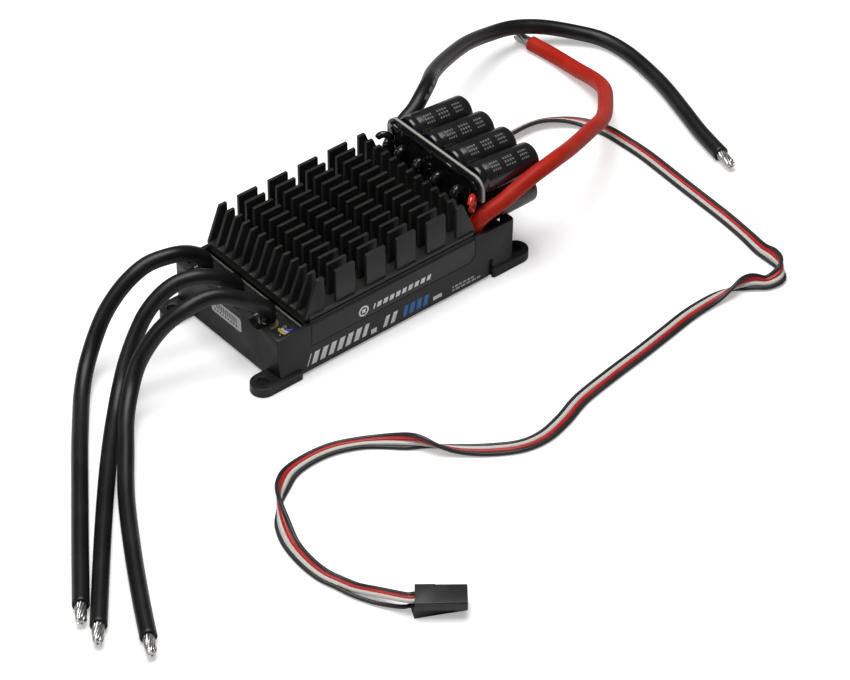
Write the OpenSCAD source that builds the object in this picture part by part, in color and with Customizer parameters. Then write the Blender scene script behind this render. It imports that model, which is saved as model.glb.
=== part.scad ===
// Brushless motor speed controller with a finned heat sink and flying leads.
// Frame: millimetres, +Z up, Z = 0 is the surface that the mounting feet stand on.
// +X points to the capacitor end, the motor leads leave at -X, the battery leads at +X.
// The origin is below the middle of the object's box, its loose leads left out.

/* [Case] */
// Length of the case over its two end walls
case_l = 89.4; // [89:0.1:90]
// Width of the case over its two side walls
case_w = 49.8; // [49.6:0.1:50.4]
// Height of the case's rim above the mounting surface
case_h = 18; // [17.8:0.1:18.4]
// Thickness of the case's walls and floor
wall_t = 1.6; // [1.4:0.1:1.7]
// Height of the gap under the case between its feet
foot_gap = 0.8; // [0.4:0.1:1.2]
// Length of a mounting ear beyond the end wall's foot
ear_l = 8.3; // [7.4:0.1:9]
// Thickness of a mounting ear
ear_t = 3.2; // [2.4:0.1:4]
// Bore of a mounting ear
ear_bore = 3.4; // [3:0.1:3.6]

/* [Heat sink] */
// Number of fins across the width
fin_n = 13; // [9:1:13]
// Distance between the middles of two fins
fin_pitch = 3.85; // [3.4:0.05:3.85]
// Thickness of a fin
fin_t = 1.1; // [0.9:0.05:1.4]
// Height of the fins above the base
fin_h = 11.5; // [8:0.1:13]
// Number of blocks that the cross cuts leave along the length
block_n = 6; // [4:1:6]
// Length of one block of fins
block_l = 7.2; // [6:0.1:8]

/* [Capacitors] */
// Diameter of a capacitor over its sleeve
cap_d = 10.2; // [9.6:0.1:10.2]
// Length of a capacitor over its sleeve
cap_l = 22.9; // [18:0.1:24]
// Number of capacitors in one row
cap_n = 4; // [2:1:4]

/* [Leads] */
// Diameter of a motor or battery lead over its silicone
lead_d = 5; // [4.4:0.1:5]
// Diameter of a tinned lead end
tip_d = 4; // [3.2:0.1:4.2]
// Length of a tinned lead end
tip_l = 7.2; // [4:0.1:8]

/* [Hidden] */

eps = 0.05;             // overlap of two shapes that are joined
gap = 0.12;             // parting gap between two pieces
corner_steps = 6;       // straight stretches in a rounded corner

// Case
case_x0 = -48.2;
case_x1 = case_x0 + case_l;
case_y = case_w / 2;
corner_r = 1.2;
draft = [0.7, 1.2];     // how far the rim leans out past the foot, at -X and +X
inner_x0 = case_x0 + wall_t;
inner_x1 = case_x1 - wall_t;
inner_y = case_y - wall_t;
floor_z = foot_gap + wall_t;
ear_r = 4;
ear_y = 22;
foot_inset = 8;         // how far a foot reaches in under the case
saddle_y = 20.9;        // half width of the cut for the lower capacitors
saddle_z = 13.2;         // rim under the lower capacitors
ribbon_slot = [1.2, 8.4, 8.6];      // from Y, to Y, bottom
notch_r = 3.2;
notch_z = case_h + 1.6;
slot_x = 33;
slot_w = 1.3;
slot_depth = 0.9;
slot_top = 6.8;
boss_at = [[-32.5, 19], [-32.5, -19], [22.5, 19], [22.5, -19]];
boss_d = 6;
boss_z = 11.1;
screw_d = 2.5;
screw_head_d = 4.6;
screw_head_z = [1, 2.6];
screw_top = 16.6;

// Heat sink
skirt_x = [-36.2, 26.7];
skirt_z = 9.9;
skirt_cut = 2;
base_x = [-37.5, 27.5];
base_z = [17.4, 20.4];
fin_top = base_z[1] + fin_h;
block_pitch = (base_x[1] - base_x[0] - block_l) / (block_n - 1);
slant_run = 4.6;

// Boards
board_t = 1.6;
power_z = 14.1;
power_top = power_z + board_t;
power_x = [-46.4, 31.2];
power_y = 23;
tab_y = 18.3;
tab_x = 33.4;
control_z = 6.5;
control_top = control_z + board_t;
post_at = [[-26, 11], [-26, -11], [18, 11], [18, -11]];
post_d = 5;
spacer_d = 4.5;

// Capacitor bank
bank_x = 31.2;                      // face of the standing board towards the fins
bank_face = bank_x + board_t;
bank_y = 22.3;
bank_corner = 4;
bank_z = [13, 35.5];
bank_notch_z = 27.6;
cap_pitch = 10.3;
cap_rows = [18.75, 31.2];           // height of each row at the board
cap_droop = [0, 5.4];               // how far each row leans down, in degrees
cap_stand = [0, 0.5];               // gap between each row and the board
sleeve_t = 0.15;
cap_lead_d = 0.8;
cap_lead_gap = 2.5;
sealant_t = 0.9;
link_at = [-12.3, -3.2, 5.6, 13.8];
link_d = 2.5;
link_x = 28.95;
link_bend = 1.6;
link_z = 26;
jumper_at = [28.58, 20.8, 27.9];

// Lead ends on the boards
motor_at = [[-44, 16], [-44, 1], [-44, -14]];
battery_at = [[30.3, -20.8], [30.3, 20.8]];
joint_z = 17.4;

// Plugs: middle of the rear face on the surface, turn about Z
plug_l = 14.6;
plug_w = 7.7;
plug_t = 3.1;
contact_pitch = 2.54;
upper_plug_at = [-77.8, -122, plug_t];
upper_plug_turn = -39;
lower_plug_at = [-78.5, -121.3, 0];
lower_plug_turn = -27;

// Routes of the leads, from the board to the tinned end
route_a = [
    [-44, 16, 17.4], [-44, 16, 20.5], [-46.5, 16, 24], [-51.5, 16.2, 27.2], [-57, 17.4, 28],
    [-63, 19.2, 27], [-69, 19.6, 24.6], [-74.5, 19.6, 20.8], [-79.5, 19.4, 15.5],
    [-85, 17.4, 9.6], [-91, 13.2, 5.4], [-97, 7, 3.2], [-103, -0.6, 2.5], [-111, -11.2, 2.5],
    [-122, -26.4, 2.5], [-134, -43, 2.5], [-149, -64, 2.5]
];
route_b = [
    [-44, 1, 17.4], [-44, 1, 20.5], [-46.4, 1, 23.8], [-50.8, 1.4, 26.8], [-56, 3.4, 28.5],
    [-61.5, 5.8, 27.8], [-67, 6.7, 25.6], [-72.5, 6.8, 21.6], [-77, 6.2, 16.4],
    [-82.5, 4, 10.4], [-88, 0.2, 5.6], [-94.5, -6, 3.1], [-101, -13, 2.5],
    [-110, -23.4, 2.5], [-122, -38, 2.5], [-135, -54.4, 2.5], [-150, -73.6, 2.5]
];
route_c = [
    [-44, -14, 17.4], [-44, -14, 20.5], [-47, -13.6, 24], [-52, -11.8, 27.6],
    [-57.5, -9, 30], [-63, -7.2, 30], [-69, -6.2, 28.4], [-74.5, -4.6, 25],
    [-79.5, -3.6, 20], [-84, -3.6, 14.4], [-89, -6.6, 9.6], [-95.5, -13, 6.6],
    [-102.2, -21.8, 5], [-113, -36.4, 3], [-124.5, -54.8, 2.5], [-134.5, -72, 2.5],
    [-142.2, -86, 2.5]
];
route_red = [
    [30.3, -20.8, 17.4], [30.3, -20.8, 19.6], [31.4, -21.9, 22], [34, -22.5, 23.6],
    [38.6, -22.9, 24.8], [44, -23.2, 27], [50.5, -23.5, 29.4], [56.2, -23.3, 30.4],
    [62, -21.8, 29.8], [71, -17.9, 27], [85.6, -10.3, 22], [98, -2.9, 17], [109, 8, 12], [116, 16.5, 8.6],
    [119.6, 25, 5.8], [120.8, 35, 3.8], [121.3, 46, 2.6], [120.2, 56.6, 2.5]
];
route_black = [
    [30.3, 20.8, 17.4], [30.3, 20.8, 19.6], [31.4, 21.9, 22], [34.4, 22.8, 24.8],
    [38.6, 23.5, 28.2], [43.6, 24.3, 30.4], [48.4, 26.4, 32], [54.2, 30.2, 32],
    [62, 37, 28.8],
    [74.5, 45.6, 23.4], [91, 55, 16.6], [105.4, 60.4, 10.8], [116.2, 61.2, 8],
    [125.2, 57.4, 6.3], [133, 51, 4.4], [139, 43.4, 3], [140.8, 34.3, 2.5],
    [140, 24, 2.5], [137.6, 11.2, 2.5], [133.6, -2.4, 2.5], [130, -14, 2.5],
    [127, -27, 2.5]
];
// Each point of the flat lead also has the turn of its width about the lead's own line
route_ribbon = [
    [32, 4.8, 8.8, 0], [37, 4.8, 9.2, 0], [42, 4.8, 9.8, 0], [50, 7.5, 7, 0],
    [60, 13.5, 4, -10],
    [69, 19.4, 2.4, -20], [77.5, 23, 2, -35], [86, 24, 2.1, -40], [94.4, 23.2, 2, -35],
    [101, 19.6, 1.7, -25], [105.8, 14.6, 1.1, -10], [109, 7, 0.7, 0], [109.8, -2, 0.7, 0],
    [110, -10, 0.7, 0], [109.5, -19, 0.7, 0], [108.8, -29, 0.7, 0], [108.2, -39, 0.7, 0],
    [107.5, -50, 0.7, 0], [106.4, -60, 0.7, 0], [105, -68, 1, 10], [104.2, -74, 2.2, 45],
    [102.6, -79.6, 2.9, 90], [99.4, -82.4, 2.4, 135], [95, -81.8, 1.4, 165],
    [91, -79.6, 2.4, 135], [87, -78.4, 2.8, 90], [83, -77.6, 2.2, 45], [77, -76.8, 1, 10],
    [67, -77.2, 0.7, 0], [56, -79, 0.7, 0], [44, -81, 0.7, 0], [30, -83, 0.7, 0],
    [16, -85.5, 0.7, 0], [6, -89, 0.7, 0], [-3, -91, 0.7, 0], [-11, -90, 0.7, 0],
    [-19, -85.5, 0.7, 0], [-26, -79.8, 1, 15], [-30.6, -75.6, 2, 45], [-34, -71.6, 2.8, 90],
    [-37, -67.6, 2, 135], [-41, -63, 1, 165], [-46.5, -59, 0.7, 180], [-54, -56, 0.7, 180],
    [-62, -55.2, 0.7, 180], [-69.5, -56.4, 0.9, 170], [-75.4, -60.2, 1.8, 140],
    [-79.6, -64, 2.6, 105], [-83, -68.6, 2.6, 70], [-85.6, -73.4, 1.6, 30],
    [-88, -80, 0.8, 5], [-89.2, -88, 0.7, 0], [-89, -95.5, 0.7, 0], [-87.4, -101.4, 0.8, 0]
];
route_ribbon_end = [
    [-86.8, -101.2, 0.8, 0], [-85.5, -106, 1.4, 0], [-83.4, -112, 3, 0],
    [-79.6, -120.5, 4.65, 0], [-77.8, -122, 4.65, 0]
];
route_tail = [
    [-89.3, -101.9, 0.8], [-88, -106.8, 0.8], [-85.6, -112.6, 0.9], [-82.8, -117.4, 1.3],
    [-80.5, -120.3, 1.55], [-78.5, -121.3, 1.55]
];
ribbon_w = 5.2;
ribbon_end_w = 3.9;
ribbon_t = 1.3;
tube_sides = 10;
ribbon_sides = 8;

// ---- Geometry helpers ----

function unit(v) = v / norm(v);
function xyz(p) = [p[0], p[1], p[2]];
function along(path, i) =
    unit(xyz(path[min(i + 1, len(path) - 1)]) - xyz(path[max(i - 1, 0)]));

// Outline of a rectangle with round corners, centred
function round_rect(l, w, r) = [
    for (c = [[1, 1, 0], [-1, 1, 90], [-1, -1, 180], [1, -1, 270]])
        for (k = [0:corner_steps])
            let (a = c[2] + 90 * k / corner_steps)
                [c[0] * (l / 2 - r) + r * cos(a), c[1] * (w / 2 - r) + r * sin(a)]
];

// A side direction for each ring of a round tube, carried along without twist
function carried(path, side) = [
    for (i = 0, s = side; i < len(path);
         i = i + 1,
         s = i < len(path) ? unit(s - (s * along(path, i)) * along(path, i)) : s) s
];

function round_rings(path, d, n) =
    let (sides = carried(path, [0, 1, 0]))
        [for (i = [0:len(path) - 1])
            let (s = sides[i], u = cross(along(path, i), s))
                [for (k = [0:n - 1])
                    xyz(path[i]) + d / 2 * (cos(360 * k / n) * s + sin(360 * k / n) * u)]];

// Rings of a flat lead: the width is level where the point's turn is 0
function flat_rings(path, w, t, n) =
    [for (i = [0:len(path) - 1])
        let (f = along(path, i), l = unit(cross([0, 0, 1], f)), u = cross(f, l),
             a = path[i][3], s = cos(a) * l + sin(a) * u, v = cross(f, s))
            [for (k = [0:n - 1])
                let (b = 360 * (k + 0.5) / n)
                    xyz(path[i]) + sign(cos(b)) * (w - t) / 2 * s
                    + t / 2 / cos(180 / n) * (cos(b) * s + sin(b) * v)]];

// A closed solid through rings of n points each
module skin(rings) {
    n = len(rings[0]);
    m = len(rings);
    walls = [
        for (i = [0:m - 2]) for (k = [0:n - 1])
            let (a = i * n + k, b = i * n + (k + 1) % n)
                each [[a, b + n, b], [a, a + n, b + n]]
    ];
    ends = [[for (k = [0:n - 1]) k], [for (k = [n - 1:-1:0]) (m - 1) * n + k]];
    polyhedron(points = [for (r = rings) each r], faces = concat(walls, ends));
}

module round_lead(path) {
    skin(round_rings(path, lead_d, tube_sides));
}

// A cylinder that carries on from the end of a route
module lead_tip(path) {
    f = along(path, len(path) - 1);
    translate(path[len(path) - 1])
        rotate([0, acos(f[2]), atan2(f[1], f[0])])
            rotate_extrude($fn = 32)
                polygon([[0, 0], [tip_d / 2, 0], [tip_d / 2, tip_l - 0.7],
                         [tip_d / 2 - 0.7, tip_l], [0, tip_l]]);
}

// A flat outline in the X-Z plane, thickened along +Y from y
module upright_xz(points, y, t) {
    translate([0, y + t, 0])
        rotate([90, 0, 0])
            linear_extrude(t) polygon(points);
}

// A flat outline in the Y-Z plane, thickened along +X from x
module upright_yz(points, x, t) {
    translate([x, 0, 0])
        rotate([90, 0, 90])
            linear_extrude(t) polygon(points);
}

// ---- Case ----

module ear_outline(x_tip, x_in) {
    side = x_tip < x_in ? 1 : -1;
    centre = x_tip + side * ear_r;
    turn = side > 0 ? 90 : -90;
    polygon(concat(
        [for (k = [0:12]) let (a = turn + 15 * k)
            [centre + ear_r * cos(a), ear_r * sin(a)]],
        [for (k = [0:3]) let (a = (side > 0 ? -90 : 90) + 30 * k)
            [x_in - side + cos(a), side * -(ear_r - 1) + sin(a)]],
        [for (k = [0:3]) let (a = (side > 0 ? 0 : 180) + 30 * k)
            [x_in - side + cos(a), side * (ear_r - 1) + sin(a)]]));
}

module ears() {
    for (y = [-ear_y, ear_y]) {
        translate([0, y, 0])
            linear_extrude(ear_t) ear_outline(case_x0 - ear_l, case_x0 + foot_inset);
        translate([0, y, 0])
            linear_extrude(ear_t) ear_outline(case_x1 + ear_l, case_x1 - foot_inset);
    }
}

module case_shell() {
    middle = (case_x0 + case_x1) / 2;
    rim_middle = middle + (draft[1] - draft[0]) / 2;
    difference() {
        translate([rim_middle, 0, foot_gap])
            linear_extrude(case_h - foot_gap)
                polygon(round_rect(case_l + draft[0] + draft[1], case_w, corner_r));
        for (end = [[case_x0, -draft[0] - 1], [case_x1, draft[1] + 1]])
            upright_xz([[end[0], foot_gap - 1], [end[0], foot_gap],
                        [end[0] + end[1] - sign(end[1]), case_h],
                        [end[0] + end[1], case_h], [end[0] + end[1], foot_gap - 1]],
                       -case_w, 2 * case_w);
        translate([middle, 0, floor_z])
            linear_extrude(case_h)
                polygon(round_rect(case_l - 2 * wall_t, case_w - 2 * wall_t, 1));
    }
}

module skirt_window(side) {
    x0 = skirt_x[0] - gap;
    x1 = skirt_x[1] + gap;
    y = side > 0 ? inner_y - 1 : -case_y - 1;
    upright_xz([[x0, case_h + 1], [x0, skirt_z - gap], [x1 - skirt_cut, skirt_z - gap],
                [x1, skirt_z + skirt_cut - gap], [x1, case_h + 1]], y, wall_t + 2);
}

module lower_case() {
    color([0.09, 0.09, 0.1])
        difference() {
            union() {
                case_shell();
                ears();
                for (p = boss_at)
                    translate([p[0], p[1], foot_gap + eps])
                        cylinder(d = boss_d + 0.8, h = boss_z - foot_gap - eps - gap, $fn = 32);
                for (p = post_at)
                    translate([p[0], p[1], floor_z - eps])
                        cylinder(d = post_d, h = control_z - floor_z + eps, $fn = 32);
            }
            for (x = [case_x0 - ear_l + ear_r, case_x1 + ear_l - ear_r])
                for (y = [-ear_y, ear_y])
                    translate([x, y, -1]) cylinder(d = ear_bore, h = ear_t + 2, $fn = 48);
            for (p = boss_at) {
                translate([p[0], p[1], 0])
                    cylinder(d = screw_head_d + 0.4, h = screw_head_z[1] + gap, $fn = 32);
                translate([p[0], p[1], 0])
                    cylinder(d = screw_d + 0.3, h = boss_z + 1, $fn = 32);
            }
            for (side = [-1, 1]) skirt_window(side);
            for (p = motor_at)
                translate([case_x0 - 2, p[1], notch_z])
                    rotate([0, 90, 0]) cylinder(r = notch_r, h = wall_t + 3, $fn = 32);
            translate([inner_x1 - 1, -saddle_y, saddle_z])
                cube([wall_t + 3, 2 * saddle_y, case_h]);
            translate([inner_x1 - 1, ribbon_slot[0], ribbon_slot[2]])
                cube([wall_t + 3, ribbon_slot[1] - ribbon_slot[0], case_h]);
            for (side = [-1, 1])
                translate([slot_x, side * (case_y - slot_depth / 2), slot_top / 2])
                    cube([slot_w, slot_depth + eps, slot_top], center = true);
        }
}

// ---- Heat sink ----

// Outline of one fin: blocks standing on a strip that sinks into the base
function block_outline(i) =
    let (x = base_x[0] + i * block_pitch,
         first = i == 0 ? slant_run : 0,
         last = i == block_n - 1 ? slant_run : 0)
        [[x, base_z[1]], [x + first, fin_top], [x + block_l - last, fin_top],
         [x + block_l, base_z[1]]];

fin_outline = concat(
    [[base_x[1], base_z[1] - 1], [base_x[0], base_z[1] - 1]],
    [for (i = [0:block_n - 1]) each block_outline(i)]);

// Half cross section of the base with its side rail and skirt, from the middle outwards
rail_y = case_y - 0.7;
half_section = [
    [0, base_z[1]], [rail_y, base_z[1]], [rail_y, 19.3], [rail_y - 0.35, 19.3],
    [rail_y - 0.35, 18.7], [rail_y, 18.7], [rail_y, 17.9], [case_y, 17.6],
    [case_y, skirt_z], [case_y - 1.5, skirt_z], [case_y - 1.5, base_z[0]], [0, base_z[0]]
];

module half_rail(side) {
    upright_yz([for (p = half_section) [side * p[0], p[1]]],
               skirt_x[0], skirt_x[1] - skirt_x[0]);
}

module heat_sink() {
    color([0.13, 0.13, 0.14])
        difference() {
            union() {
                half_rail(1);
                half_rail(-1);
                translate([base_x[0], -inner_y + gap, base_z[0]])
                    cube([base_x[1] - base_x[0], 2 * (inner_y - gap), base_z[1] - base_z[0]]);
                for (j = [0:fin_n - 1])
                    upright_xz(fin_outline, (j - (fin_n - 1) / 2) * fin_pitch - fin_t / 2, fin_t);
                for (p = boss_at)
                    translate([p[0], p[1], boss_z])
                        cylinder(d = boss_d, h = base_z[0] - boss_z + 1, $fn = 32);
            }
            for (p = boss_at)
                translate([p[0], p[1], boss_z - 1])
                    cylinder(d = screw_d, h = screw_top + gap - boss_z + 1, $fn = 32);
            for (side = [-1, 1])
                upright_xz([[skirt_x[1] - skirt_cut, skirt_z - 1], [skirt_x[1] + 1, skirt_z - 1],
                            [skirt_x[1] + 1, skirt_z + skirt_cut + 1],
                            [skirt_x[1] - skirt_cut, skirt_z]],
                           side > 0 ? inner_y - 1 : -case_y - 1, wall_t + 2);
        }
}

module case_screws() {
    color([0.75, 0.75, 0.78])
        for (p = boss_at)
            translate([p[0], p[1], 0])
                difference() {
                    union() {
                        translate([0, 0, screw_head_z[0]])
                            cylinder(d = screw_head_d, h = screw_head_z[1] - screw_head_z[0],
                                     $fn = 32);
                        translate([0, 0, screw_head_z[1] - eps])
                            cylinder(d = screw_d, h = screw_top - screw_head_z[1] + eps, $fn = 32);
                    }
                    translate([0, 0, screw_head_z[0] - 1]) cylinder(d = 1.9, h = 1.9, $fn = 6);
                }
}

// ---- Power stage ----

module power_board() {
    color([0.05, 0.06, 0.06])
        difference() {
            union() {
                translate([power_x[0], -power_y, power_z])
                    cube([power_x[1] - power_x[0], 2 * power_y, board_t]);
                for (side = [-1, 1])
                    translate([power_x[1] - 1, side > 0 ? tab_y : -power_y, power_z])
                        cube([tab_x - power_x[1] + 1, power_y - tab_y, board_t]);
            }
            for (p = boss_at)
                translate([p[0], p[1], power_z - 1]) cylinder(d = boss_d + 0.6, h = 4, $fn = 32);
        }
}

module power_transistors() {
    color([0.12, 0.12, 0.12])
        for (i = [0:5]) for (j = [0:3])
            translate([-34 + 9.6 * i, -13.6 + 7.6 * j, power_top])
                cube([6, 5, 0.9]);
}

module thermal_pad() {
    color([0.45, 0.5, 0.55])
        translate([-36, -15.6, power_top + 0.9])
            cube([60, 31.2, base_z[0] - power_top - 0.9]);
}

module phase_bus_bars() {
    color([0.85, 0.85, 0.83])
        for (y = [-16.8, 0, 16.8])
            translate([-38.4, y - 6.7, power_top]) cube([0.6, 13.4, 1.1]);
}

module solder_cone(p, r) {
    translate([p[0], p[1], power_top])
        cylinder(r1 = r, r2 = r - 0.3, h = joint_z - power_top, $fn = 32);
}

module phase_solder_joints() {
    color([0.78, 0.78, 0.76])
        for (p = motor_at) solder_cone(p, 2.4);
}

module battery_solder_joints() {
    color([0.78, 0.78, 0.76])
        for (p = battery_at) solder_cone(p, 2.2);
}

// Three thin insulated wires that curl in the corner beside the first motor lead
module sense_wires() {
    for (k = [0:2])
        color([[0.1, 0.2, 0.7], [0.9, 0.9, 0.88], [0.85, 0.8, 0.2]][k])
            translate([-41, -20.2, power_top + 0.46])
                rotate([0, 0, 150])
                    rotate_extrude(angle = 150, $fn = 48)
                        translate([1.1 + 0.95 * k, 0]) circle(d = 0.9, $fn = 16);
}

// ---- Control stage ----

module control_board() {
    color([0.05, 0.2, 0.12])
        translate([-30, -14.5, control_z]) cube([64, 29, board_t]);
}

module board_spacers() {
    color([0.75, 0.65, 0.35])
        for (p = post_at)
            translate([p[0], p[1], control_top])
                cylinder(d = spacer_d, h = power_z - control_top, $fn = 32);
}

module controller_chip() {
    color([0.1, 0.1, 0.1])
        translate([-4, -3.5, control_top]) cube([7, 7, 1]);
}

module gate_drivers() {
    color([0.1, 0.1, 0.1])
        for (y = [-10, -2, 6])
            translate([-18, y, control_top]) cube([4, 4, 0.9]);
}

module board_connector() {
    color([0.15, 0.15, 0.15])
        translate([8, -10, control_top]) cube([5, 20, power_z - control_top]);
}

module regulator_inductor() {
    color([0.3, 0.3, 0.32])
        translate([24, -9, control_top]) cube([7, 7, 3.5]);
}

// ---- Capacitor bank ----

// Y and Z of every capacitor's axis at the board, and its row
cap_axes = [for (row = [0, 1]) for (i = [0:cap_n - 1])
    [(i - (cap_n - 1) / 2) * cap_pitch, cap_rows[row], row]];

module at_capacitor(p) {
    translate([bank_face + cap_stand[p[2]], p[0], p[1]])
        rotate([0, 90 + cap_droop[p[2]], 0]) children();
}

module capacitor_board() {
    corner = bank_corner;
    outline = concat(
        [[-tab_y + 0.3, bank_z[0]], [tab_y - 0.3, bank_z[0]], [tab_y - 0.3, bank_notch_z],
         [bank_y, bank_notch_z]],
        [for (k = [0:corner_steps]) let (a = 90 * k / corner_steps)
            [bank_y - corner + corner * cos(a), bank_z[1] - corner + corner * sin(a)]],
        [for (k = [0:corner_steps]) let (a = 90 + 90 * k / corner_steps)
            [-bank_y + corner + corner * cos(a), bank_z[1] - corner + corner * sin(a)]],
        [[-bank_y, bank_notch_z], [-tab_y + 0.3, bank_notch_z]]);
    color([0.75, 0.7, 0.55])
        difference() {
            upright_yz(outline, bank_x, board_t);
            for (p = cap_axes) for (s = [-1, 1])
                translate([bank_x - 1, p[0] + s * cap_lead_gap, p[1]])
                    rotate([0, 90, 0]) cylinder(d = cap_lead_d + 0.1, h = 4, $fn = 16);
        }
}

// Half outline of a can: radius against the distance from the board
module capacitor_cans() {
    r = cap_d / 2 - sleeve_t;
    l = cap_l;
    can = [[0, 0.4], [r - 0.6, 0.4], [r - 0.2, 0.8], [r - 0.2, 2], [r - 0.7, 2.3],
           [r - 0.7, 2.7], [r - 0.1, 3.1], [r - 0.1, l - 0.9], [r - 0.8, l - 0.2], [0, l - 0.2]];
    color([0.8, 0.8, 0.8])
        for (p = cap_axes) at_capacitor(p) rotate_extrude($fn = 40) polygon(can);
}

module capacitor_sleeves() {
    r = cap_d / 2;
    l = cap_l;
    sleeve = [[r - 0.1, 0], [r, 0.1], [r, l - 0.8], [r - 0.7, l], [3.4, l], [3.4, l - 0.2],
              [r - sleeve_t - 0.75, l - 0.2], [r - sleeve_t, l - 0.9], [r - sleeve_t, 0]];
    color([0.06, 0.06, 0.07])
        for (p = cap_axes) at_capacitor(p) rotate_extrude($fn = 40) polygon(sleeve);
}

module capacitor_leads() {
    color([0.8, 0.8, 0.78])
        for (p = cap_axes) for (s = [-1, 1])
            translate([bank_x, p[0] + s * cap_lead_gap, p[1]])
                rotate([0, 90, 0])
                    cylinder(d = cap_lead_d, h = board_t + cap_stand[p[2]] + 0.38, $fn = 16);
}

module link_cutters(d) {
    for (y = link_at)
        translate([bank_x - 3, y, link_z + link_bend])
            rotate([0, 90, 0]) cylinder(d = d, h = 4, $fn = 32);
}

module capacitor_sealant() {
    outline = [[-17, 16.4], [17, 16.4], [17.4, 27], [18, 31], [20.6, 32.6], [19.4, 34.2],
               [-19.4, 34.2], [-20.6, 32.6], [-18, 31], [-17.4, 27]];
    color([0.04, 0.04, 0.045])
        difference() {
            upright_yz(outline, bank_x - sealant_t, sealant_t);
            link_cutters(link_d + 0.2);
        }
}

// Insulated links from the power board up to the standing board
module board_links() {
    color([0.05, 0.05, 0.05])
        for (y = link_at)
            translate([link_x, y, power_top]) {
                cylinder(d = link_d, h = link_z - power_top, $fn = 32);
                translate([link_bend, 0, link_z - power_top])
                    rotate([90, 0, 0])
                        rotate([0, 0, 90])
                            rotate_extrude(angle = 90, $fn = 48)
                                translate([link_bend, 0]) circle(d = link_d, $fn = 32);
                translate([link_bend, 0, link_z - power_top + link_bend])
                    rotate([0, 90, 0])
                        cylinder(d = link_d, h = bank_x - link_x - link_bend, $fn = 32);
            }
}

// A thin wire that loops round a lower corner of the standing board
module corner_jumper(side) {
    translate([jumper_at[0], side * jumper_at[1], jumper_at[2]])
        rotate([90, 0, side * -35])
            rotate([0, 0, -100])
                rotate_extrude(angle = 250, $fn = 48)
                    translate([2.1, 0]) circle(d = 1.8, $fn = 24);
}

module red_jumper() { color([0.75, 0.12, 0.08]) corner_jumper(-1); }
module black_jumper() { color([0.05, 0.05, 0.05]) corner_jumper(1); }

// It lies on the end wall, which leans out
module serial_label() {
    height = 12.6;
    lean = atan(draft[0] / (case_h - foot_gap));
    color([0.9, 0.9, 0.9])
        translate([case_x0 - (height - foot_gap) * tan(lean), 0, height])
            rotate([0, -lean, 0]) rotate([90, 0, -90])
                linear_extrude(0.15) polygon(round_rect(14.4, 5.2, 1));
}

// ---- Signal lead and plugs ----

module plug_at(at, turn) {
    translate(at) rotate([0, 0, turn]) children();
}

// A three way housing: its rear face is at X = 0 and its mouth at X = plug_l
module plug_housing() {
    difference() {
        translate([0, -plug_w / 2, 0]) cube([plug_l, plug_w, plug_t]);
        for (k = [-1:1]) {
            translate([plug_l - 9, k * contact_pitch - 0.8, plug_t / 2 - 0.8])
                cube([10, 1.6, 1.6]);
            translate([3.4, k * contact_pitch - 0.7, -0.5]) cube([3.6, 1.4, 1]);
        }
        for (s = [-1, 1])
            translate([plug_l - 4, s * plug_w / 2, plug_t + 0.2])
                rotate([45, 0, 0]) cube([10, 0.7, 0.7], center = true);
    }
}

module plug_contacts(ways) {
    for (k = ways)
        translate([plug_l - 9, k * contact_pitch - 0.7, plug_t / 2 - 0.7])
            difference() {
                cube([8.4, 1.4, 1.4]);
                translate([2, 0.35, 0.35]) cube([8, 0.7, 0.7]);
            }
}

module upper_plug() {
    color([0.08, 0.08, 0.08]) plug_at(upper_plug_at, upper_plug_turn) plug_housing();
}

module lower_plug() {
    color([0.08, 0.08, 0.08]) plug_at(lower_plug_at, lower_plug_turn) plug_housing();
}

module upper_plug_contacts() {
    color([0.85, 0.75, 0.4]) plug_at(upper_plug_at, upper_plug_turn) plug_contacts([-1, 0, 1]);
}

module lower_plug_contacts() {
    color([0.85, 0.75, 0.4]) plug_at(lower_plug_at, lower_plug_turn) plug_contacts([0]);
}

module signal_ribbon() {
    color([0.5, 0.1, 0.08]) skin(flat_rings(route_ribbon, ribbon_w, ribbon_t, ribbon_sides));
}

module signal_ribbon_end() {
    color([0.5, 0.1, 0.08])
        skin(flat_rings(route_ribbon_end, ribbon_end_w, ribbon_t, ribbon_sides));
}

module signal_tail() {
    color([0.06, 0.06, 0.06]) skin(round_rings(route_tail, ribbon_t, ribbon_sides));
}

// ---- Motor and battery leads ----

module motor_lead_a() { color([0.1, 0.1, 0.1]) round_lead(route_a); }
module motor_lead_b() { color([0.1, 0.1, 0.1]) round_lead(route_b); }
module motor_lead_c() { color([0.1, 0.1, 0.1]) round_lead(route_c); }
module battery_lead_red() { color([0.75, 0.15, 0.1]) round_lead(route_red); }
module battery_lead_black() { color([0.1, 0.1, 0.1]) round_lead(route_black); }
module motor_tip_a() { color([0.85, 0.85, 0.83]) lead_tip(route_a); }
module motor_tip_b() { color([0.85, 0.85, 0.83]) lead_tip(route_b); }
module motor_tip_c() { color([0.85, 0.85, 0.83]) lead_tip(route_c); }
module battery_tip_red() { color([0.85, 0.85, 0.83]) lead_tip(route_red); }
module battery_tip_black() { color([0.85, 0.85, 0.83]) lead_tip(route_black); }

lower_case();
heat_sink();
case_screws();
power_board();
power_transistors();
thermal_pad();
phase_bus_bars();
phase_solder_joints();
battery_solder_joints();
sense_wires();
control_board();
board_spacers();
controller_chip();
gate_drivers();
board_connector();
regulator_inductor();
capacitor_board();
capacitor_cans();
capacitor_sleeves();
capacitor_leads();
capacitor_sealant();
board_links();
red_jumper();
black_jumper();
serial_label();
motor_lead_a();
motor_lead_b();
motor_lead_c();
battery_lead_red();
battery_lead_black();
motor_tip_a();
motor_tip_b();
motor_tip_c();
battery_tip_red();
battery_tip_black();
signal_ribbon();
signal_ribbon_end();
signal_tail();
upper_plug();
lower_plug();
upper_plug_contacts();
lower_plug_contacts();
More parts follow.
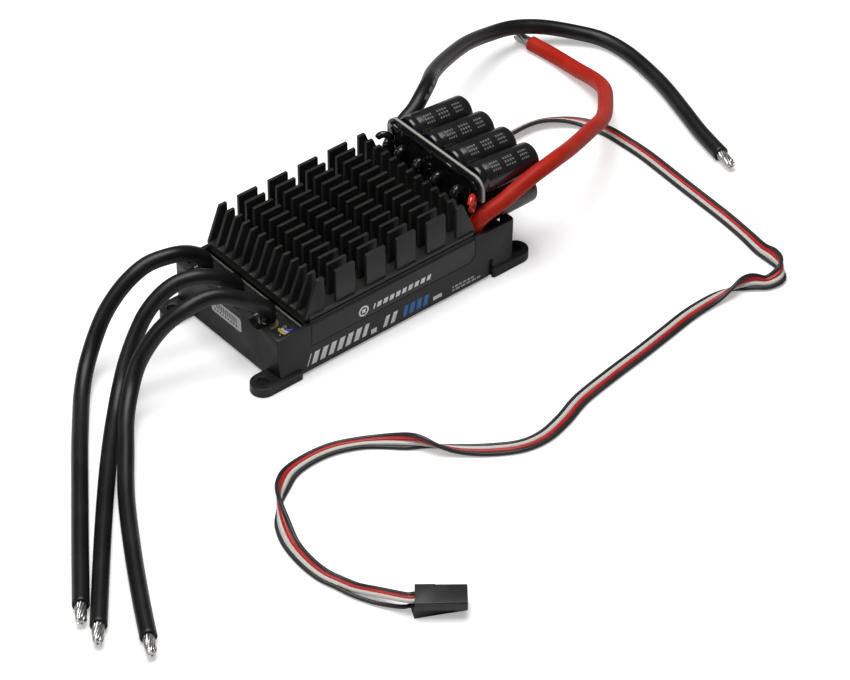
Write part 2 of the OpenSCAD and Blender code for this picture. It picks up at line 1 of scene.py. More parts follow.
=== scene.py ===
"""Electronic speed controller: finned case, capacitor bank, power leads and signal lead.

Laid out as an add-on and run as a script. One operator makes each group of pieces.
"""

import math

import bpy
from bpy.props import FloatProperty, FloatVectorProperty, IntProperty, PointerProperty
from bpy.types import Operator, Panel, PropertyGroup
from mathutils import Matrix, Vector, noise


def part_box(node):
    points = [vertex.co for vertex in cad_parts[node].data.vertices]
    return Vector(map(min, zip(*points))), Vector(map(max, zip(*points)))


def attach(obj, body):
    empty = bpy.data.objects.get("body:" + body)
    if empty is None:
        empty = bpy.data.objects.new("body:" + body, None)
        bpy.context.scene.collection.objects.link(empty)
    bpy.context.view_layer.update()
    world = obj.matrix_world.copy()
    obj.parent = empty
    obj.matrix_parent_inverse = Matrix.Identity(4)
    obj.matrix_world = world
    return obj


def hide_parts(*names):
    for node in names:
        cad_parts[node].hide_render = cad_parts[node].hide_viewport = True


bl_info = {
    "name": "Speed controller",
    "version": (1, 0, 0),
    "blender": (4, 5, 0),
    "location": "View3D > Sidebar > Speed controller",
    "description": "Makes the finished pieces of an electronic speed controller",
    "category": "Object",
}

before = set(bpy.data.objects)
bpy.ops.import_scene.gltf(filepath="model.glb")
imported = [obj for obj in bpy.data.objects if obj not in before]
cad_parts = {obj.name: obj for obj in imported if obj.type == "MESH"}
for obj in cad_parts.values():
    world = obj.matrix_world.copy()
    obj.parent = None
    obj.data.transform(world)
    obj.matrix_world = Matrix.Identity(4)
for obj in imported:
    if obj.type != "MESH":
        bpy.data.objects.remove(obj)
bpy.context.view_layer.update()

# ---- Routes, in metres ----

ROUTES = {
    "motor_lead_a": [
        (-0.044, 0.016, 0.0174), (-0.044, 0.016, 0.0205), (-0.0465, 0.016, 0.024),
        (-0.0515, 0.0162, 0.0272), (-0.057, 0.0174, 0.028), (-0.063, 0.0192, 0.027),
        (-0.069, 0.0196, 0.0246), (-0.0745, 0.0196, 0.0208), (-0.0795, 0.0194, 0.0155),
        (-0.085, 0.0174, 0.0096), (-0.091, 0.0132, 0.0054), (-0.097, 0.007, 0.0032),
        (-0.103, -0.0006, 0.0025), (-0.111, -0.0112, 0.0025), (-0.122, -0.0264, 0.0025),
        (-0.134, -0.043, 0.0025), (-0.149, -0.064, 0.0025),
    ],
    "motor_lead_b": [
        (-0.044, 0.001, 0.0174), (-0.044, 0.001, 0.0205), (-0.0464, 0.001, 0.0238),
        (-0.0508, 0.0014, 0.0268), (-0.056, 0.0034, 0.0285), (-0.0615, 0.0058, 0.0278),
        (-0.067, 0.0067, 0.0256), (-0.0725, 0.0068, 0.0216), (-0.077, 0.0062, 0.0164),
        (-0.0825, 0.004, 0.0104), (-0.088, 0.0002, 0.0056), (-0.0945, -0.006, 0.0031),
        (-0.101, -0.013, 0.0025), (-0.11, -0.0234, 0.0025), (-0.122, -0.038, 0.0025),
        (-0.135, -0.0544, 0.0025), (-0.15, -0.0736, 0.0025),
    ],
    "motor_lead_c": [
        (-0.044, -0.014, 0.0174), (-0.044, -0.014, 0.0205), (-0.047, -0.0136, 0.024),
        (-0.052, -0.0118, 0.0276), (-0.0575, -0.009, 0.03), (-0.063, -0.0072, 0.03),
        (-0.069, -0.0062, 0.0284), (-0.0745, -0.0046, 0.025), (-0.0795, -0.0036, 0.02),
        (-0.084, -0.0036, 0.0144), (-0.089, -0.0066, 0.0096), (-0.0955, -0.013, 0.0066),
        (-0.1022, -0.0218, 0.005), (-0.113, -0.0364, 0.003), (-0.1245, -0.0548, 0.0025),
        (-0.1345, -0.072, 0.0025), (-0.1422, -0.086, 0.0025),
    ],
    "battery_lead_red": [
        (0.0303, -0.0208, 0.0174), (0.0303, -0.0208, 0.0196), (0.0314, -0.0219, 0.022),
        (0.034, -0.0225, 0.0236), (0.0386, -0.0229, 0.0248), (0.044, -0.0232, 0.027),
        (0.0505, -0.0235, 0.0294), (0.0562, -0.0233, 0.0304), (0.062, -0.0218, 0.0298),
        (0.071, -0.0179, 0.027), (0.0856, -0.0103, 0.022), (0.098, -0.0029, 0.017),
        (0.109, 0.008, 0.012), (0.116, 0.0165, 0.0086), (0.1196, 0.025, 0.0058),
        (0.1208, 0.035, 0.0038), (0.1213, 0.046, 0.0026), (0.1202, 0.0566, 0.0025),
    ],
    "battery_lead_black": [
        (0.0303, 0.0208, 0.0174), (0.0303, 0.0208, 0.0196), (0.0314, 0.0219, 0.022),
        (0.0344, 0.0228, 0.0248), (0.0386, 0.0235, 0.0282), (0.0436, 0.0243, 0.0304),
        (0.0484, 0.0264, 0.032), (0.0542, 0.0302, 0.032), (0.062, 0.037, 0.0288),
        (0.0745, 0.0456, 0.0234), (0.091, 0.055, 0.0166), (0.1054, 0.0604, 0.0108),
        (0.1162, 0.0612, 0.008), (0.1252, 0.0574, 0.0063), (0.133, 0.051, 0.0044),
        (0.139, 0.0434, 0.003), (0.1408, 0.0343, 0.0025), (0.14, 0.024, 0.0025),
        (0.1376, 0.0112, 0.0025), (0.1336, -0.0024, 0.0025), (0.13, -0.014, 0.0025),
        (0.127, -0.027, 0.0025),
    ],
}

# The flat lead: x, y, z and the turn of its width about its own line, in degrees
RIBBON_ROUTE = [
    (0.032, 0.0048, 0.0088, 0), (0.037, 0.0048, 0.0092, 0), (0.042, 0.0048, 0.0098, 0),
    (0.05, 0.0075, 0.007, 0), (0.06, 0.0135, 0.004, -10), (0.069, 0.0194, 0.0024, -20),
    (0.0775, 0.023, 0.002, -35), (0.086, 0.024, 0.0021, -40), (0.0944, 0.0232, 0.002, -35),
    (0.101, 0.0196, 0.0017, -25), (0.1058, 0.0146, 0.0011, -10), (0.109, 0.007, 0.0007, 0),
    (0.1098, -0.002, 0.0007, 0), (0.11, -0.01, 0.0007, 0), (0.1095, -0.019, 0.0007, 0),
    (0.1088, -0.029, 0.0007, 0), (0.1082, -0.039, 0.0007, 0), (0.1075, -0.05, 0.0007, 0),
    (0.1064, -0.06, 0.0007, 0), (0.105, -0.068, 0.001, 10), (0.1042, -0.074, 0.0022, 45),
    (0.1026, -0.0796, 0.0029, 90), (0.0994, -0.0824, 0.0024, 135),
    (0.095, -0.0818, 0.0014, 165), (0.091, -0.0796, 0.0024, 135),
    (0.087, -0.0784, 0.0028, 90), (0.083, -0.0776, 0.0022, 45), (0.077, -0.0768, 0.001, 10),
    (0.067, -0.0772, 0.0007, 0), (0.056, -0.079, 0.0007, 0), (0.044, -0.081, 0.0007, 0),
    (0.03, -0.083, 0.0007, 0), (0.016, -0.0855, 0.0007, 0), (0.006, -0.089, 0.0007, 0),
    (-0.003, -0.091, 0.0007, 0), (-0.011, -0.09, 0.0007, 0), (-0.019, -0.0855, 0.0007, 0),
    (-0.026, -0.0798, 0.001, 15), (-0.0306, -0.0756, 0.002, 45),
    (-0.034, -0.0716, 0.0028, 90), (-0.037, -0.0676, 0.002, 135),
    (-0.041, -0.063, 0.001, 165), (-0.0465, -0.059, 0.0007, 180),
    (-0.054, -0.056, 0.0007, 180), (-0.062, -0.0552, 0.0007, 180),
    (-0.0695, -0.0564, 0.0009, 170), (-0.0754, -0.0602, 0.0018, 140),
    (-0.0796, -0.064, 0.0026, 105), (-0.083, -0.0686, 0.0026, 70),
    (-0.0856, -0.0734, 0.0016, 30), (-0.088, -0.08, 0.0008, 5), (-0.0892, -0.088, 0.0007, 0),
    (-0.089, -0.0955, 0.0007, 0), (-0.0874, -0.1014, 0.0008, 0),
]
RIBBON_END_ROUTE = [
    (-0.0868, -0.1012, 0.0008, 0), (-0.0855, -0.106, 0.0014, 0), (-0.0834, -0.112, 0.003, 0),
    (-0.0796, -0.1205, 0.00465, 0), (-0.0778, -0.122, 0.00465, 0),
]
TAIL_ROUTE = [
    (-0.0893, -0.1019, 0.0008, 0), (-0.088, -0.1068, 0.0008, 0), (-0.0856, -0.1126, 0.0009, 0),
    (-0.0828, -0.1174, 0.0013, 0), (-0.0805, -0.1203, 0.00155, 0),
    (-0.0785, -0.1213, 0.00155, 0),
]

PRINT_DEPTH = 0.0006  # how deep a printed mark reaches into a face
DROOP = 5.4  # how far the upper row of capacitors hangs down, in degrees
CAN_SPACING = 0.0103
CAMERA_PLACE = (-0.5754, -0.71955, 0.74942)
CAMERA_AZIMUTH, CAMERA_ELEVATION, CAMERA_ROLL = -39.979, 39.993, -0.1755

LEAD_LENGTHS = {
    "motor_lead_a": 0.1595,
    "motor_lead_b": 0.1576,
    "motor_lead_c": 0.158,
    "battery_lead_red": 0.1497,
    "battery_lead_black": 0.2095,
}
TIPS = {lead: lead.replace("lead", "tip") for lead in LEAD_LENGTHS}


# ---- Sizes and colours that a user would change ----


def colour(name, description, default):
    return FloatVectorProperty(
        name=name, description=description, subtype="COLOR", size=3, min=0, max=1, default=default
    )


def length(name, description, default):
    return FloatProperty(
        name=name, description=description, subtype="DISTANCE", unit="LENGTH", default=default
    )


class LeadSettings(PropertyGroup):
    diameter: length("Diameter", "Outside diameter of a power lead", 0.005)
    tip_diameter: length("Tip diameter", "Diameter of the tinned strands", 0.0036)
    tip_length: length("Tip length", "Length of the bare strands", 0.0066)
    wire_diameter: length("Wire diameter", "Diameter of one signal wire", 0.0013)
    step: length("Step", "Distance between two rings of a lead's mesh", 0.0012)
    sides: IntProperty(name="Sides", description="Faces round a power lead", default=28, min=8)
    black: colour("Black rubber", "Insulation of the black power leads", (0.0060, 0.0060, 0.0062))
    red: colour("Red rubber", "Insulation of the red power lead", (0.42, 0.016, 0.008))
    wire_red: colour("Red wire", "Middle signal wire", (0.40, 0.008, 0.010))
    wire_white: colour("White wire", "Light signal wire", (0.62, 0.60, 0.56))


class CaseSettings(PropertyGroup):
    edge: length("Edge", "Width of the softened edges of the case", 0.00022)
    fin_edge: length("Fin edge", "Width of the softened edges of the fins", 0.00013)
    plastic: colour("Plastic", "Moulded lower case", (0.0115, 0.0112, 0.0108))
    anodised: colour("Anodised", "Black anodised heat sink", (0.016, 0.0153, 0.0146))
    print_white: colour("White print", "Plain marks on the side", (0.85, 0.85, 0.85))
    print_blue: colour("Blue print", "Plain marks on the side", (0.02, 0.19, 0.55))


class CapacitorSettings(PropertyGroup):
    diameter: length("Diameter", "Diameter over the sleeve", 0.0102)
    length: length("Length", "Length over the sleeve", 0.0229)
    sleeve: colour("Sleeve", "Shrunk black film", (0.010, 0.010, 0.011))


class StageSettings(PropertyGroup):
    floor: length("Floor", "Side of the floor", 9.0)
    lens: FloatProperty(name="Lens", description="Focal length, in mm", default=165.47, min=10)
    key: FloatProperty(
        name="Key light", description="Power of the top light", unit="POWER", default=13.0
    )
    fill: FloatProperty(
        name="Fill light", description="Power of the side light", unit="POWER", default=2.0
    )
    world: FloatProperty(name="Room", description="Strength of the room's light", default=0.07)


class ControllerSettings(PropertyGroup):
    leads: PointerProperty(type=LeadSettings)
    case: PointerProperty(type=CaseSettings)
    capacitors: PointerProperty(type=CapacitorSettings)
    stage: PointerProperty(type=StageSettings)


def settings():
    return bpy.context.scene.speed_controller


# ---- Shared effects, as node groups ----


def new_group(name, inputs, outputs):
    """An empty node group with its sockets, and its two end nodes"""
    tree = bpy.data.node_groups.new(name, "ShaderNodeTree")
    for socket, kind, default in inputs:
        item = tree.interface.new_socket(socket, in_out="INPUT", socket_type=kind)
        if default is not None:
            item.default_value = default
    for socket, kind in outputs:
        tree.interface.new_socket(socket, in_out="OUTPUT", socket_type=kind)
    return tree, tree.nodes.new("NodeGroupInput"), tree.nodes.new("NodeGroupOutput")


def math_node(tree, operation, *values):
    node = tree.nodes.new("ShaderNodeMath")
    node.operation = operation
    for socket, value in zip(node.inputs, values):
        if isinstance(value, (int, float)):
            socket.default_value = value
        else:
            tree.links.new(value, socket)
    return node.outputs[0]


def mix_colour(tree, factor, a, b):
    node = tree.nodes.new("ShaderNodeMix")
    node.data_type = "RGBA"
    for socket, value in ((node.inputs[0], factor), (node.inputs[6], a), (node.inputs[7], b)):
        if isinstance(value, bpy.types.NodeSocket):
            tree.links.new(value, socket)
        elif isinstance(value, (int, float)):
            socket.default_value = value
        else:
            socket.default_value = (*value, 1)
    return node.outputs[2]


def noise_node(tree, vector, scale, detail=3.0):
    node = tree.nodes.new("ShaderNodeTexNoise")
    tree.links.new(vector, node.inputs["Vector"])
    node.inputs["Detail"].default_value = detail
    if isinstance(scale, (int, float)):
        node.inputs["Scale"].default_value = scale
    else:
        tree.links.new(scale, node.inputs["Scale"])
    return node.outputs["Fac"]


def mottle_group():
    """Slow change of colour over a surface, with a fine speckle of dust"""
    tree, start, end = new_group(
        "Mottle and dust",
        [
            ("Vector", "NodeSocketVector", None),
            ("Base", "NodeSocketColor", None),
            ("Worn", "NodeSocketColor", None),
            ("Scale", "NodeSocketFloat", 60.0),
            ("Amount", "NodeSocketFloat", 0.5),
            ("Dust", "NodeSocketFloat", 0.1),
        ],
        [("Color", "NodeSocketColor"), ("Mask", "NodeSocketFloat")],
    )
    slow = noise_node(tree, start.outputs["Vector"], start.outputs["Scale"])
    slow = math_node(tree, "SUBTRACT", slow, 0.38)
    slow = math_node(tree, "MULTIPLY", slow, 3.2)
    slow.node.use_clamp = True
    slow = math_node(tree, "MULTIPLY", slow, start.outputs["Amount"])
    fine = noise_node(tree, start.outputs["Vector"], 2600.0, 1.0)
    fine = math_node(tree, "SUBTRACT", fine, 0.66)
    fine = math_node(tree, "MULTIPLY", fine, 9.0)
    fine.node.use_clamp = True
    fine = math_node(tree, "MULTIPLY", fine, start.outputs["Dust"])
    mask = math_node(tree, "MAXIMUM", slow, fine)
    shade = mix_colour(tree, mask, start.outputs["Base"], start.outputs["Worn"])
    tree.links.new(shade, end.inputs["Color"])
    tree.links.new(mask, end.inputs["Mask"])
    return tree


def grain_group():
    """Fine grain, stretched along an axis by the vector that it is given"""
    tree, start, end = new_group(
        "Grain",
        [
            ("Vector", "NodeSocketVector", None),
            ("Scale", "NodeSocketFloat", 900.0),
            ("Smooth", "NodeSocketFloat", 0.35),
            ("Rough", "NodeSocketFloat", 0.55),
        ],
        [("Roughness", "NodeSocketFloat"), ("Height", "NodeSocketFloat")],
    )
    grain = noise_node(tree, start.outputs["Vector"], start.outputs["Scale"], 4.0)
    slow = noise_node(tree, start.outputs["Vector"], 90.0, 2.0)
    both = math_node(tree, "MULTIPLY_ADD", slow, 0.5, math_node(tree, "MULTIPLY", grain, 0.5))
    spread = math_node(tree, "SUBTRACT", start.outputs["Rough"], start.outputs["Smooth"])
    rough = math_node(tree, "MULTIPLY_ADD", both, spread, start.outputs["Smooth"])
    tree.links.new(rough, end.inputs["Roughness"])
    tree.links.new(grain, end.inputs["Height"])
    return tree


def bars_group():
    """A block of plain bars: X runs along the row, Z is its height and Y its depth"""
    tree, start, end = new_group(
        "Plain bars",
        [
            ("Vector", "NodeSocketVector", None),
            ("Half length", "NodeSocketFloat", 0.005),
            ("Half height", "NodeSocketFloat", 0.001),
            ("Half depth", "NodeSocketFloat", 0.001),
            ("Pitch", "NodeSocketFloat", 1.0),
            ("Fill", "NodeSocketFloat", 1.0),
            ("Slant", "NodeSocketFloat", 0.0),
            ("Row pitch", "NodeSocketFloat", 1.0),
            ("Row fill", "NodeSocketFloat", 1.0),
        ],
        [("Mask", "NodeSocketFloat")],
    )
    split = tree.nodes.new("ShaderNodeSeparateXYZ")
    tree.links.new(start.outputs["Vector"], split.inputs[0])
    x, y, z = split.outputs
    lean = math_node(tree, "MULTIPLY", z, start.outputs["Slant"])
    x = math_node(tree, "SUBTRACT", x, lean)
    inside = [
        math_node(tree, "LESS_THAN", math_node(tree, "ABSOLUTE", axis), start.outputs[limit])
        for axis, limit in ((x, "Half length"), (z, "Half height"), (y, "Half depth"))
    ]
    for axis, pitch, fill in ((x, "Pitch", "Fill"), (z, "Row pitch", "Row fill")):
        place = math_node(tree, "DIVIDE", axis, start.outputs[pitch])
        place = math_node(tree, "FRACT", math_node(tree, "ADD", place, 50.0))
        inside.append(math_node(tree, "LESS_THAN", place, start.outputs[fill]))
    bar = inside[0]
    for part in inside[1:]:
        bar = math_node(tree, "MULTIPLY", bar, part)
    tree.links.new(bar, end.inputs["Mask"])
    return tree


# The turn that makes a pattern's X run along a piece's UV, and its Z across it
ALONG_UV = (math.pi / 2, 0, math.pi / 2)
GROUPS = {}


def use_group(tree, name, **values):
    """Places a shared group, and sets or links its inputs"""
    makers = {"Mottle and dust": mottle_group, "Grain": grain_group, "Plain bars": bars_group}
    if name not in GROUPS:
        GROUPS[name] = makers[name]()
    node = tree.nodes.new("ShaderNodeGroup")
    node.node_tree = GROUPS[name]
    for key, value in values.items():
        socket = node.inputs[key.replace("_", " ")]
        if isinstance(value, bpy.types.NodeSocket):
            tree.links.new(value, socket)
        elif isinstance(value, (int, float)):
            socket.default_value = value
        else:
            socket.default_value = (*value, 1) if len(value) == 3 else value
    return node


class Finish:
    """A procedural material: mottle, grain and bump on the piece's own coordinates"""

    def __init__(self, name, base, worn=None, rough=(0.35, 0.55), grain=900.0, bump=0.00001,
                 stretch=(1, 1, 1), metallic=0.0, coat=0.0, coat_rough=0.1, specular=0.5,
                 mottle=60.0, amount=0.5, dust=0.08, uv=False):
        self.material = bpy.data.materials.new(name)
        self.material.use_nodes = True
        self.material.diffuse_color = (*base, 1)
        self.tree = self.material.node_tree
        self.shader = self.tree.nodes["Principled BSDF"]
        coordinates = self.tree.nodes.new("ShaderNodeTexCoord")
        self.place = coordinates.outputs["UV" if uv else "Object"]
        stretched = self.tree.nodes.new("ShaderNodeMapping")
        stretched.inputs["Scale"].default_value = stretch
        self.tree.links.new(coordinates.outputs["Object"], stretched.inputs["Vector"])
        worn = worn or tuple(min(1, c * 2.2 + 0.012) for c in base)
        mottled = use_group(
            self.tree, "Mottle and dust", Vector=coordinates.outputs["Object"], Base=base,
            Worn=worn, Scale=mottle, Amount=amount, Dust=dust,
        )
        self.colour = mottled.outputs["Color"]
        grained = use_group(
            self.tree, "Grain", Vector=stretched.outputs[0], Scale=grain,
            Smooth=rough[0], Rough=rough[1],
        )
        self.roughness = grained.outputs["Roughness"]
        self.height = grained.outputs["Height"]
        self.tree.links.new(self.roughness, self.shader.inputs["Roughness"])
        bumped = self.tree.nodes.new("ShaderNodeBump")
        bumped.inputs["Strength"].default_value = 1.0
        bumped.inputs["Distance"].default_value = bump
        self.tree.links.new(self.height, bumped.inputs["Height"])
        self.tree.links.new(bumped.outputs[0], self.shader.inputs["Normal"])
        self.shader.inputs["Metallic"].default_value = metallic
        self.shader.inputs["Coat Weight"].default_value = coat
        self.shader.inputs["Coat Roughness"].default_value = coat_rough
        self.shader.inputs["Specular IOR Level"].default_value = specular
        self.paint()

    def paint(self):
        self.tree.links.new(self.colour, self.shader.inputs["Base Color"])

    def lay(self, mask, shade):
        """Lays a colour over the finish where the mask is 1"""
        self.colour = mix_colour(self.tree, mask, self.colour, shade)
        self.paint()

    def local(self, centre, turn=(0, 0, 0)):
        """The piece's coordinates about a centre, turned"""
        node = self.tree.nodes.new("ShaderNodeMapping")
        node.vector_type = "TEXTURE"
        node.inputs["Location"].default_value = centre
        node.inputs["Rotation"].default_value = turn
        self.tree.links.new(self.place, node.inputs["Vector"])
        return node.outputs[0]

    def bars(self, centre, half, shade, pitch=1.0, fill=1.0, slant=0.0, turn=(0, 0, 0),
             row_pitch=1.0, row_fill=1.0):
        """A block of plain bars, its half sizes given as length, depth and height"""
        node = use_group(
            self.tree, "Plain bars", Vector=self.local(centre, turn), Half_length=half[0],
            Half_depth=half[1], Half_height=half[2], Pitch=pitch, Fill=fill, Slant=slant,
            Row_pitch=row_pitch, Row_fill=row_fill,
        )
        self.lay(node.outputs["Mask"], shade)

    def ring(self, centre, outer, inner, shade, depth, axis="Y"):
        """A plain ring round a centre, on a face square to the axis"""
        around = self.local(centre)
        split = self.tree.nodes.new("ShaderNodeSeparateXYZ")
        self.tree.links.new(around, split.inputs[0])
        flat = [s for s in split.outputs if s.name != axis]
        squares = [math_node(self.tree, "MULTIPLY", s, s) for s in flat]
        radius = math_node(self.tree, "SQRT", math_node(self.tree, "ADD", *squares))
        mask = math_node(
            self.tree, "MULTIPLY",
            math_node(self.tree, "LESS_THAN", radius, outer),
            math_node(self.tree, "GREATER_THAN", radius, inner),
        )
        deep = math_node(self.tree, "ABSOLUTE", split.outputs[axis])
        near = math_node(self.tree, "LESS_THAN", deep, depth)
        self.lay(math_node(self.tree, "MULTIPLY", mask, near), shade)


FINISHES = {}


def finish(name, **values):
    """A plain finish, made once"""
    if name not in FINISHES:
        FINISHES[name] = Finish(name, **values).material
    return FINISHES[name]


# ---- Modelling ----


def clear_selection():
    if bpy.context.mode != "OBJECT":
        bpy.ops.object.mode_set(mode="OBJECT")
    bpy.ops.object.select_all(action="DESELECT")
    bpy.context.view_layer.objects.active = None


def only(piece):
    clear_selection()
    piece.select_set(True)
    bpy.context.view_layer.objects.active = piece
    return piece


def edit(piece):
    only(piece)
    bpy.ops.object.mode_set(mode="EDIT")
    bpy.ops.mesh.select_all(action="SELECT")


def done(piece, angle=35):
    """Leaves edit mode with smooth shading up to an angle"""
    if bpy.context.mode != "OBJECT":
        bpy.ops.object.mode_set(mode="OBJECT")
    only(piece)
    bpy.ops.object.shade_smooth_by_angle(angle=math.radians(angle))
    return piece


def apply_modifiers(piece):
    only(piece)
    for modifier in list(piece.modifiers):
        bpy.ops.object.modifier_apply(modifier=modifier.name)
    return piece


def give(piece, slot, *nodes):
    """Puts a finished piece on the body and in place of its CAD nodes; the slot is not used"""
    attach(piece, "root")
    if nodes:
        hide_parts(*nodes)
    return piece


def dress(piece, *materials):
    """Puts materials on a piece, and keeps which face has which"""
    indices = [polygon.material_index for polygon in piece.data.polygons]
    piece.data.materials.clear()
    for material in materials:
        piece.data.materials.append(material)
    for polygon, index in zip(piece.data.polygons, indices):
        polygon.material_index = min(index, len(materials) - 1)
    return piece


def finished(piece, slot, nodes, *materials):
    """Dresses a piece, and puts it in place of its CAD nodes"""
    dress(piece, *materials)
    return give(piece, slot, *nodes)


def copy_of_node(name, *nodes):
    """A closed copy of CAD nodes, with its triangles merged back into faces"""
    clear_selection()
    copies = []
    for node in nodes:
        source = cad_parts[node]
        copied = bpy.data.objects.new(name, source.data.copy())
        bpy.context.scene.collection.objects.link(copied)
        copies.append(copied)
    for copied in copies:
        copied.select_set(True)
    bpy.context.view_layer.objects.active = copies[0]
    if len(copies) > 1:
        bpy.ops.object.join()
    piece = bpy.context.view_layer.objects.active
    piece.name = name
    edit(piece)
    bpy.ops.mesh.remove_doubles(threshold=0.000002)
    bpy.ops.object.mode_set(mode="OBJECT")
    return piece


def softened(name, nodes, width, segments=2, angle=30, smooth=25):
    """A copy of CAD nodes with softened edges, its flats kept flat"""
    piece = copy_of_node(name, *nodes)
    edit(piece)
    bpy.ops.mesh.tris_convert_to_quads(
        face_threshold=math.radians(0.6), shape_threshold=math.radians(180)
    )
    bpy.ops.object.mode_set(mode="OBJECT")
    bevel = piece.modifiers.new("Softened edges", "BEVEL")
    bevel.width = width
    bevel.segments = segments
    bevel.limit_method = "ANGLE"
    bevel.angle_limit = math.radians(angle)
    bevel.use_clamp_overlap = False
    bevel.loop_slide = False
    apply_modifiers(piece)
    return done(piece, smooth)


def edged(name, node, width, slot, material, segments=2):
    """A CAD node with softened edges, dressed and put in its place"""
    return finished(softened(name, [node], width, segments), slot, [node], material)


def lump(name, nodes, voxel, rounds, ripple=0.0, ripple_scale=300.0, swollen=0.0):
    """A copy of CAD nodes, remeshed and rubbed smooth, as poured or melted material is"""
    piece = copy_of_node(name, *nodes)
    remesh = piece.modifiers.new("Even skin", "REMESH")
    remesh.mode = "VOXEL"
    remesh.voxel_size = voxel
    smooth = piece.modifiers.new("Rubbed smooth", "SMOOTH")
    smooth.factor = 0.5
    smooth.iterations = rounds
    apply_modifiers(piece)
    if ripple:
        for vertex in piece.data.vertices:
            swell = swollen + ripple * noise.noise(vertex.co * ripple_scale)
            vertex.co += vertex.normal * swell
    return done(piece, 60)


def turned(name, profile, sides, smooth=40):
    """A turned piece about Z: a ring is extruded from one height to the next"""
    clear_selection()
    first = profile[0]
    bpy.ops.mesh.primitive_circle_add(
        vertices=sides, radius=first[0], fill_type="NOTHING", location=(0, 0, 0)
    )
    piece = bpy.context.active_object
    piece.name = name
    for vertex in piece.data.vertices:
        vertex.co.z = first[1]
    edit(piece)
    bpy.ops.mesh.edge_face_add()
    bpy.ops.mesh.select_mode(type="EDGE")
    bpy.ops.mesh.select_all(action="SELECT")
    radius, height = first
    for next_radius, next_height in profile[1:]:
        bpy.ops.mesh.extrude_edges_move(
            TRANSFORM_OT_translate={"value": (0, 0, next_height - height)}
        )
        ratio = next_radius / radius
        bpy.ops.transform.resize(value=(ratio, ratio, 1), center_override=(0, 0, next_height))
        radius, height = next_radius, next_height
    bpy.ops.mesh.edge_face_add()
    bpy.ops.mesh.select_mode(type="VERT")
    bpy.ops.mesh.select_all(action="SELECT")
    bpy.ops.mesh.normals_make_consistent(inside=False)
    return done(piece, smooth)


def barrel_map(piece, along):
    """UV in metres: round the piece and along it"""
    while piece.data.uv_layers:
        piece.data.uv_layers.remove(piece.data.uv_layers[0])
    layer = piece.data.uv_layers.new(name="barrel")
    for polygon in piece.data.polygons:
        middle = math.atan2(polygon.center.y, polygon.center.x)
        for loop in polygon.loop_indices:
            point = piece.data.vertices[piece.data.loops[loop].vertex_index].co
            turn = math.atan2(point.y, point.x)
            turn += math.tau * round((middle - turn) / math.tau)
            layer.data[loop].uv = (turn * along, point.z)


def copies(name, model, matrices):
    """One piece of many copies, each put in place in its mesh"""
    parts = []
    for matrix in matrices:
        part = bpy.data.objects.new(name, model.data.copy())
        part.data.transform(matrix)
        bpy.context.scene.collection.objects.link(part)
        parts.append(part)
    bpy.data.objects.remove(model)
    clear_selection()
    for part in parts:
        part.select_set(True)
    bpy.context.view_layer.objects.active = parts[0]
    bpy.ops.object.join()
    joined = bpy.context.view_layer.objects.active
    joined.name = name
    return joined


# ---- Leads ----


def smooth_route(points, step):
    """A smooth curve through the points, cut into short even steps"""
    before = [2 * a - b for a, b in zip(points[0], points[1])]
    after = [2 * a - b for a, b in zip(points[-1], points[-2])]
    ends = [before, *points, after]
    route = []
    for p0, p1, p2, p3 in zip(ends, ends[1:], ends[2:], ends[3:]):
        count = max(2, math.ceil((Vector(p2[:3]) - Vector(p1[:3])).length / step))
        for i in range(count):
            t = i / count
            route.append([
                0.5 * (2 * b + (c - a) * t + (2 * a - 5 * b + 4 * c - d) * t * t
                       + (3 * b - a - 3 * c + d) * t ** 3)
                for a, b, c, d in zip(p0, p1, p2, p3)
            ])
    route.append(list(points[-1]))
    return route


def directions(route):
    places = [Vector(p[:3]) for p in route]
    result = []
    for i in range(len(places)):
        result.append((places[min(i + 1, len(places) - 1)] - places[max(i - 1, 0)]).normalized())
    return places, result


def carried_frames(route):
    """Places, directions and side vectors, the side carried along without a twist"""
    places, ahead = directions(route)
    side = ahead[0].orthogonal().normalized()
    frames = []
    for place, forward in zip(places, ahead):
        side = (side - forward * side.dot(forward)).normalized()
        frames.append((place, forward, side, forward.cross(side)))
    return frames


def flat_frames(route):
    """Places, directions, width vectors and thickness vectors of a flat lead"""
    places, ahead = directions(route)
    frames = []
    for place, forward, point in zip(places, ahead, route):
        level = Vector((0, 0, 1)).cross(forward).normalized()
        rise = forward.cross(level)
        turn = math.radians(point[3])
        width = level * math.cos(turn) + rise * math.sin(turn)
        frames.append((place, forward, width, rise * math.cos(turn) - level * math.sin(turn)))
    return frames


def skin(name, rings, runs, material_of=None):
    """A closed mesh through rings of points, with UV round it and along it in metres"""
    sides = len(rings[0])
    points = [tuple(p) for ring in rings for p in ring]
    faces = []
    for i in range(len(rings) - 1):
        for j in range(sides):
            k = (j + 1) % sides
            faces.append((
                i * sides + j, i * sides + k, (i + 1) * sides + k, (i + 1) * sides + j
            ))
    faces.append(tuple(reversed(range(sides))))
    faces.append(tuple(range((len(rings) - 1) * sides, len(rings) * sides)))
    mesh = bpy.data.meshes.new(name)
    mesh.from_pydata(points, [], faces)
    layer = mesh.uv_layers.new(name="run")
    for index, polygon in enumerate(mesh.polygons):
        i, j = divmod(index, sides)
        if index >= sides * (len(rings) - 1):
            continue
        if material_of:
            polygon.material_index = material_of(j)
        corners = ((j, i), (j + 1, i), (j + 1, i + 1), (j, i + 1))
        for loop, (u, v) in zip(polygon.loop_indices, corners):
            layer.data[loop].uv = (u / sides, runs[v])
    piece = bpy.data.objects.new(name, mesh)
    bpy.context.scene.collection.objects.link(piece)
    return done(piece, 40)


def run_lengths(places):
    runs = [0.0]
    for a, b in zip(places, places[1:]):
        runs.append(runs[-1] + (Vector(b) - Vector(a)).length)
    return runs


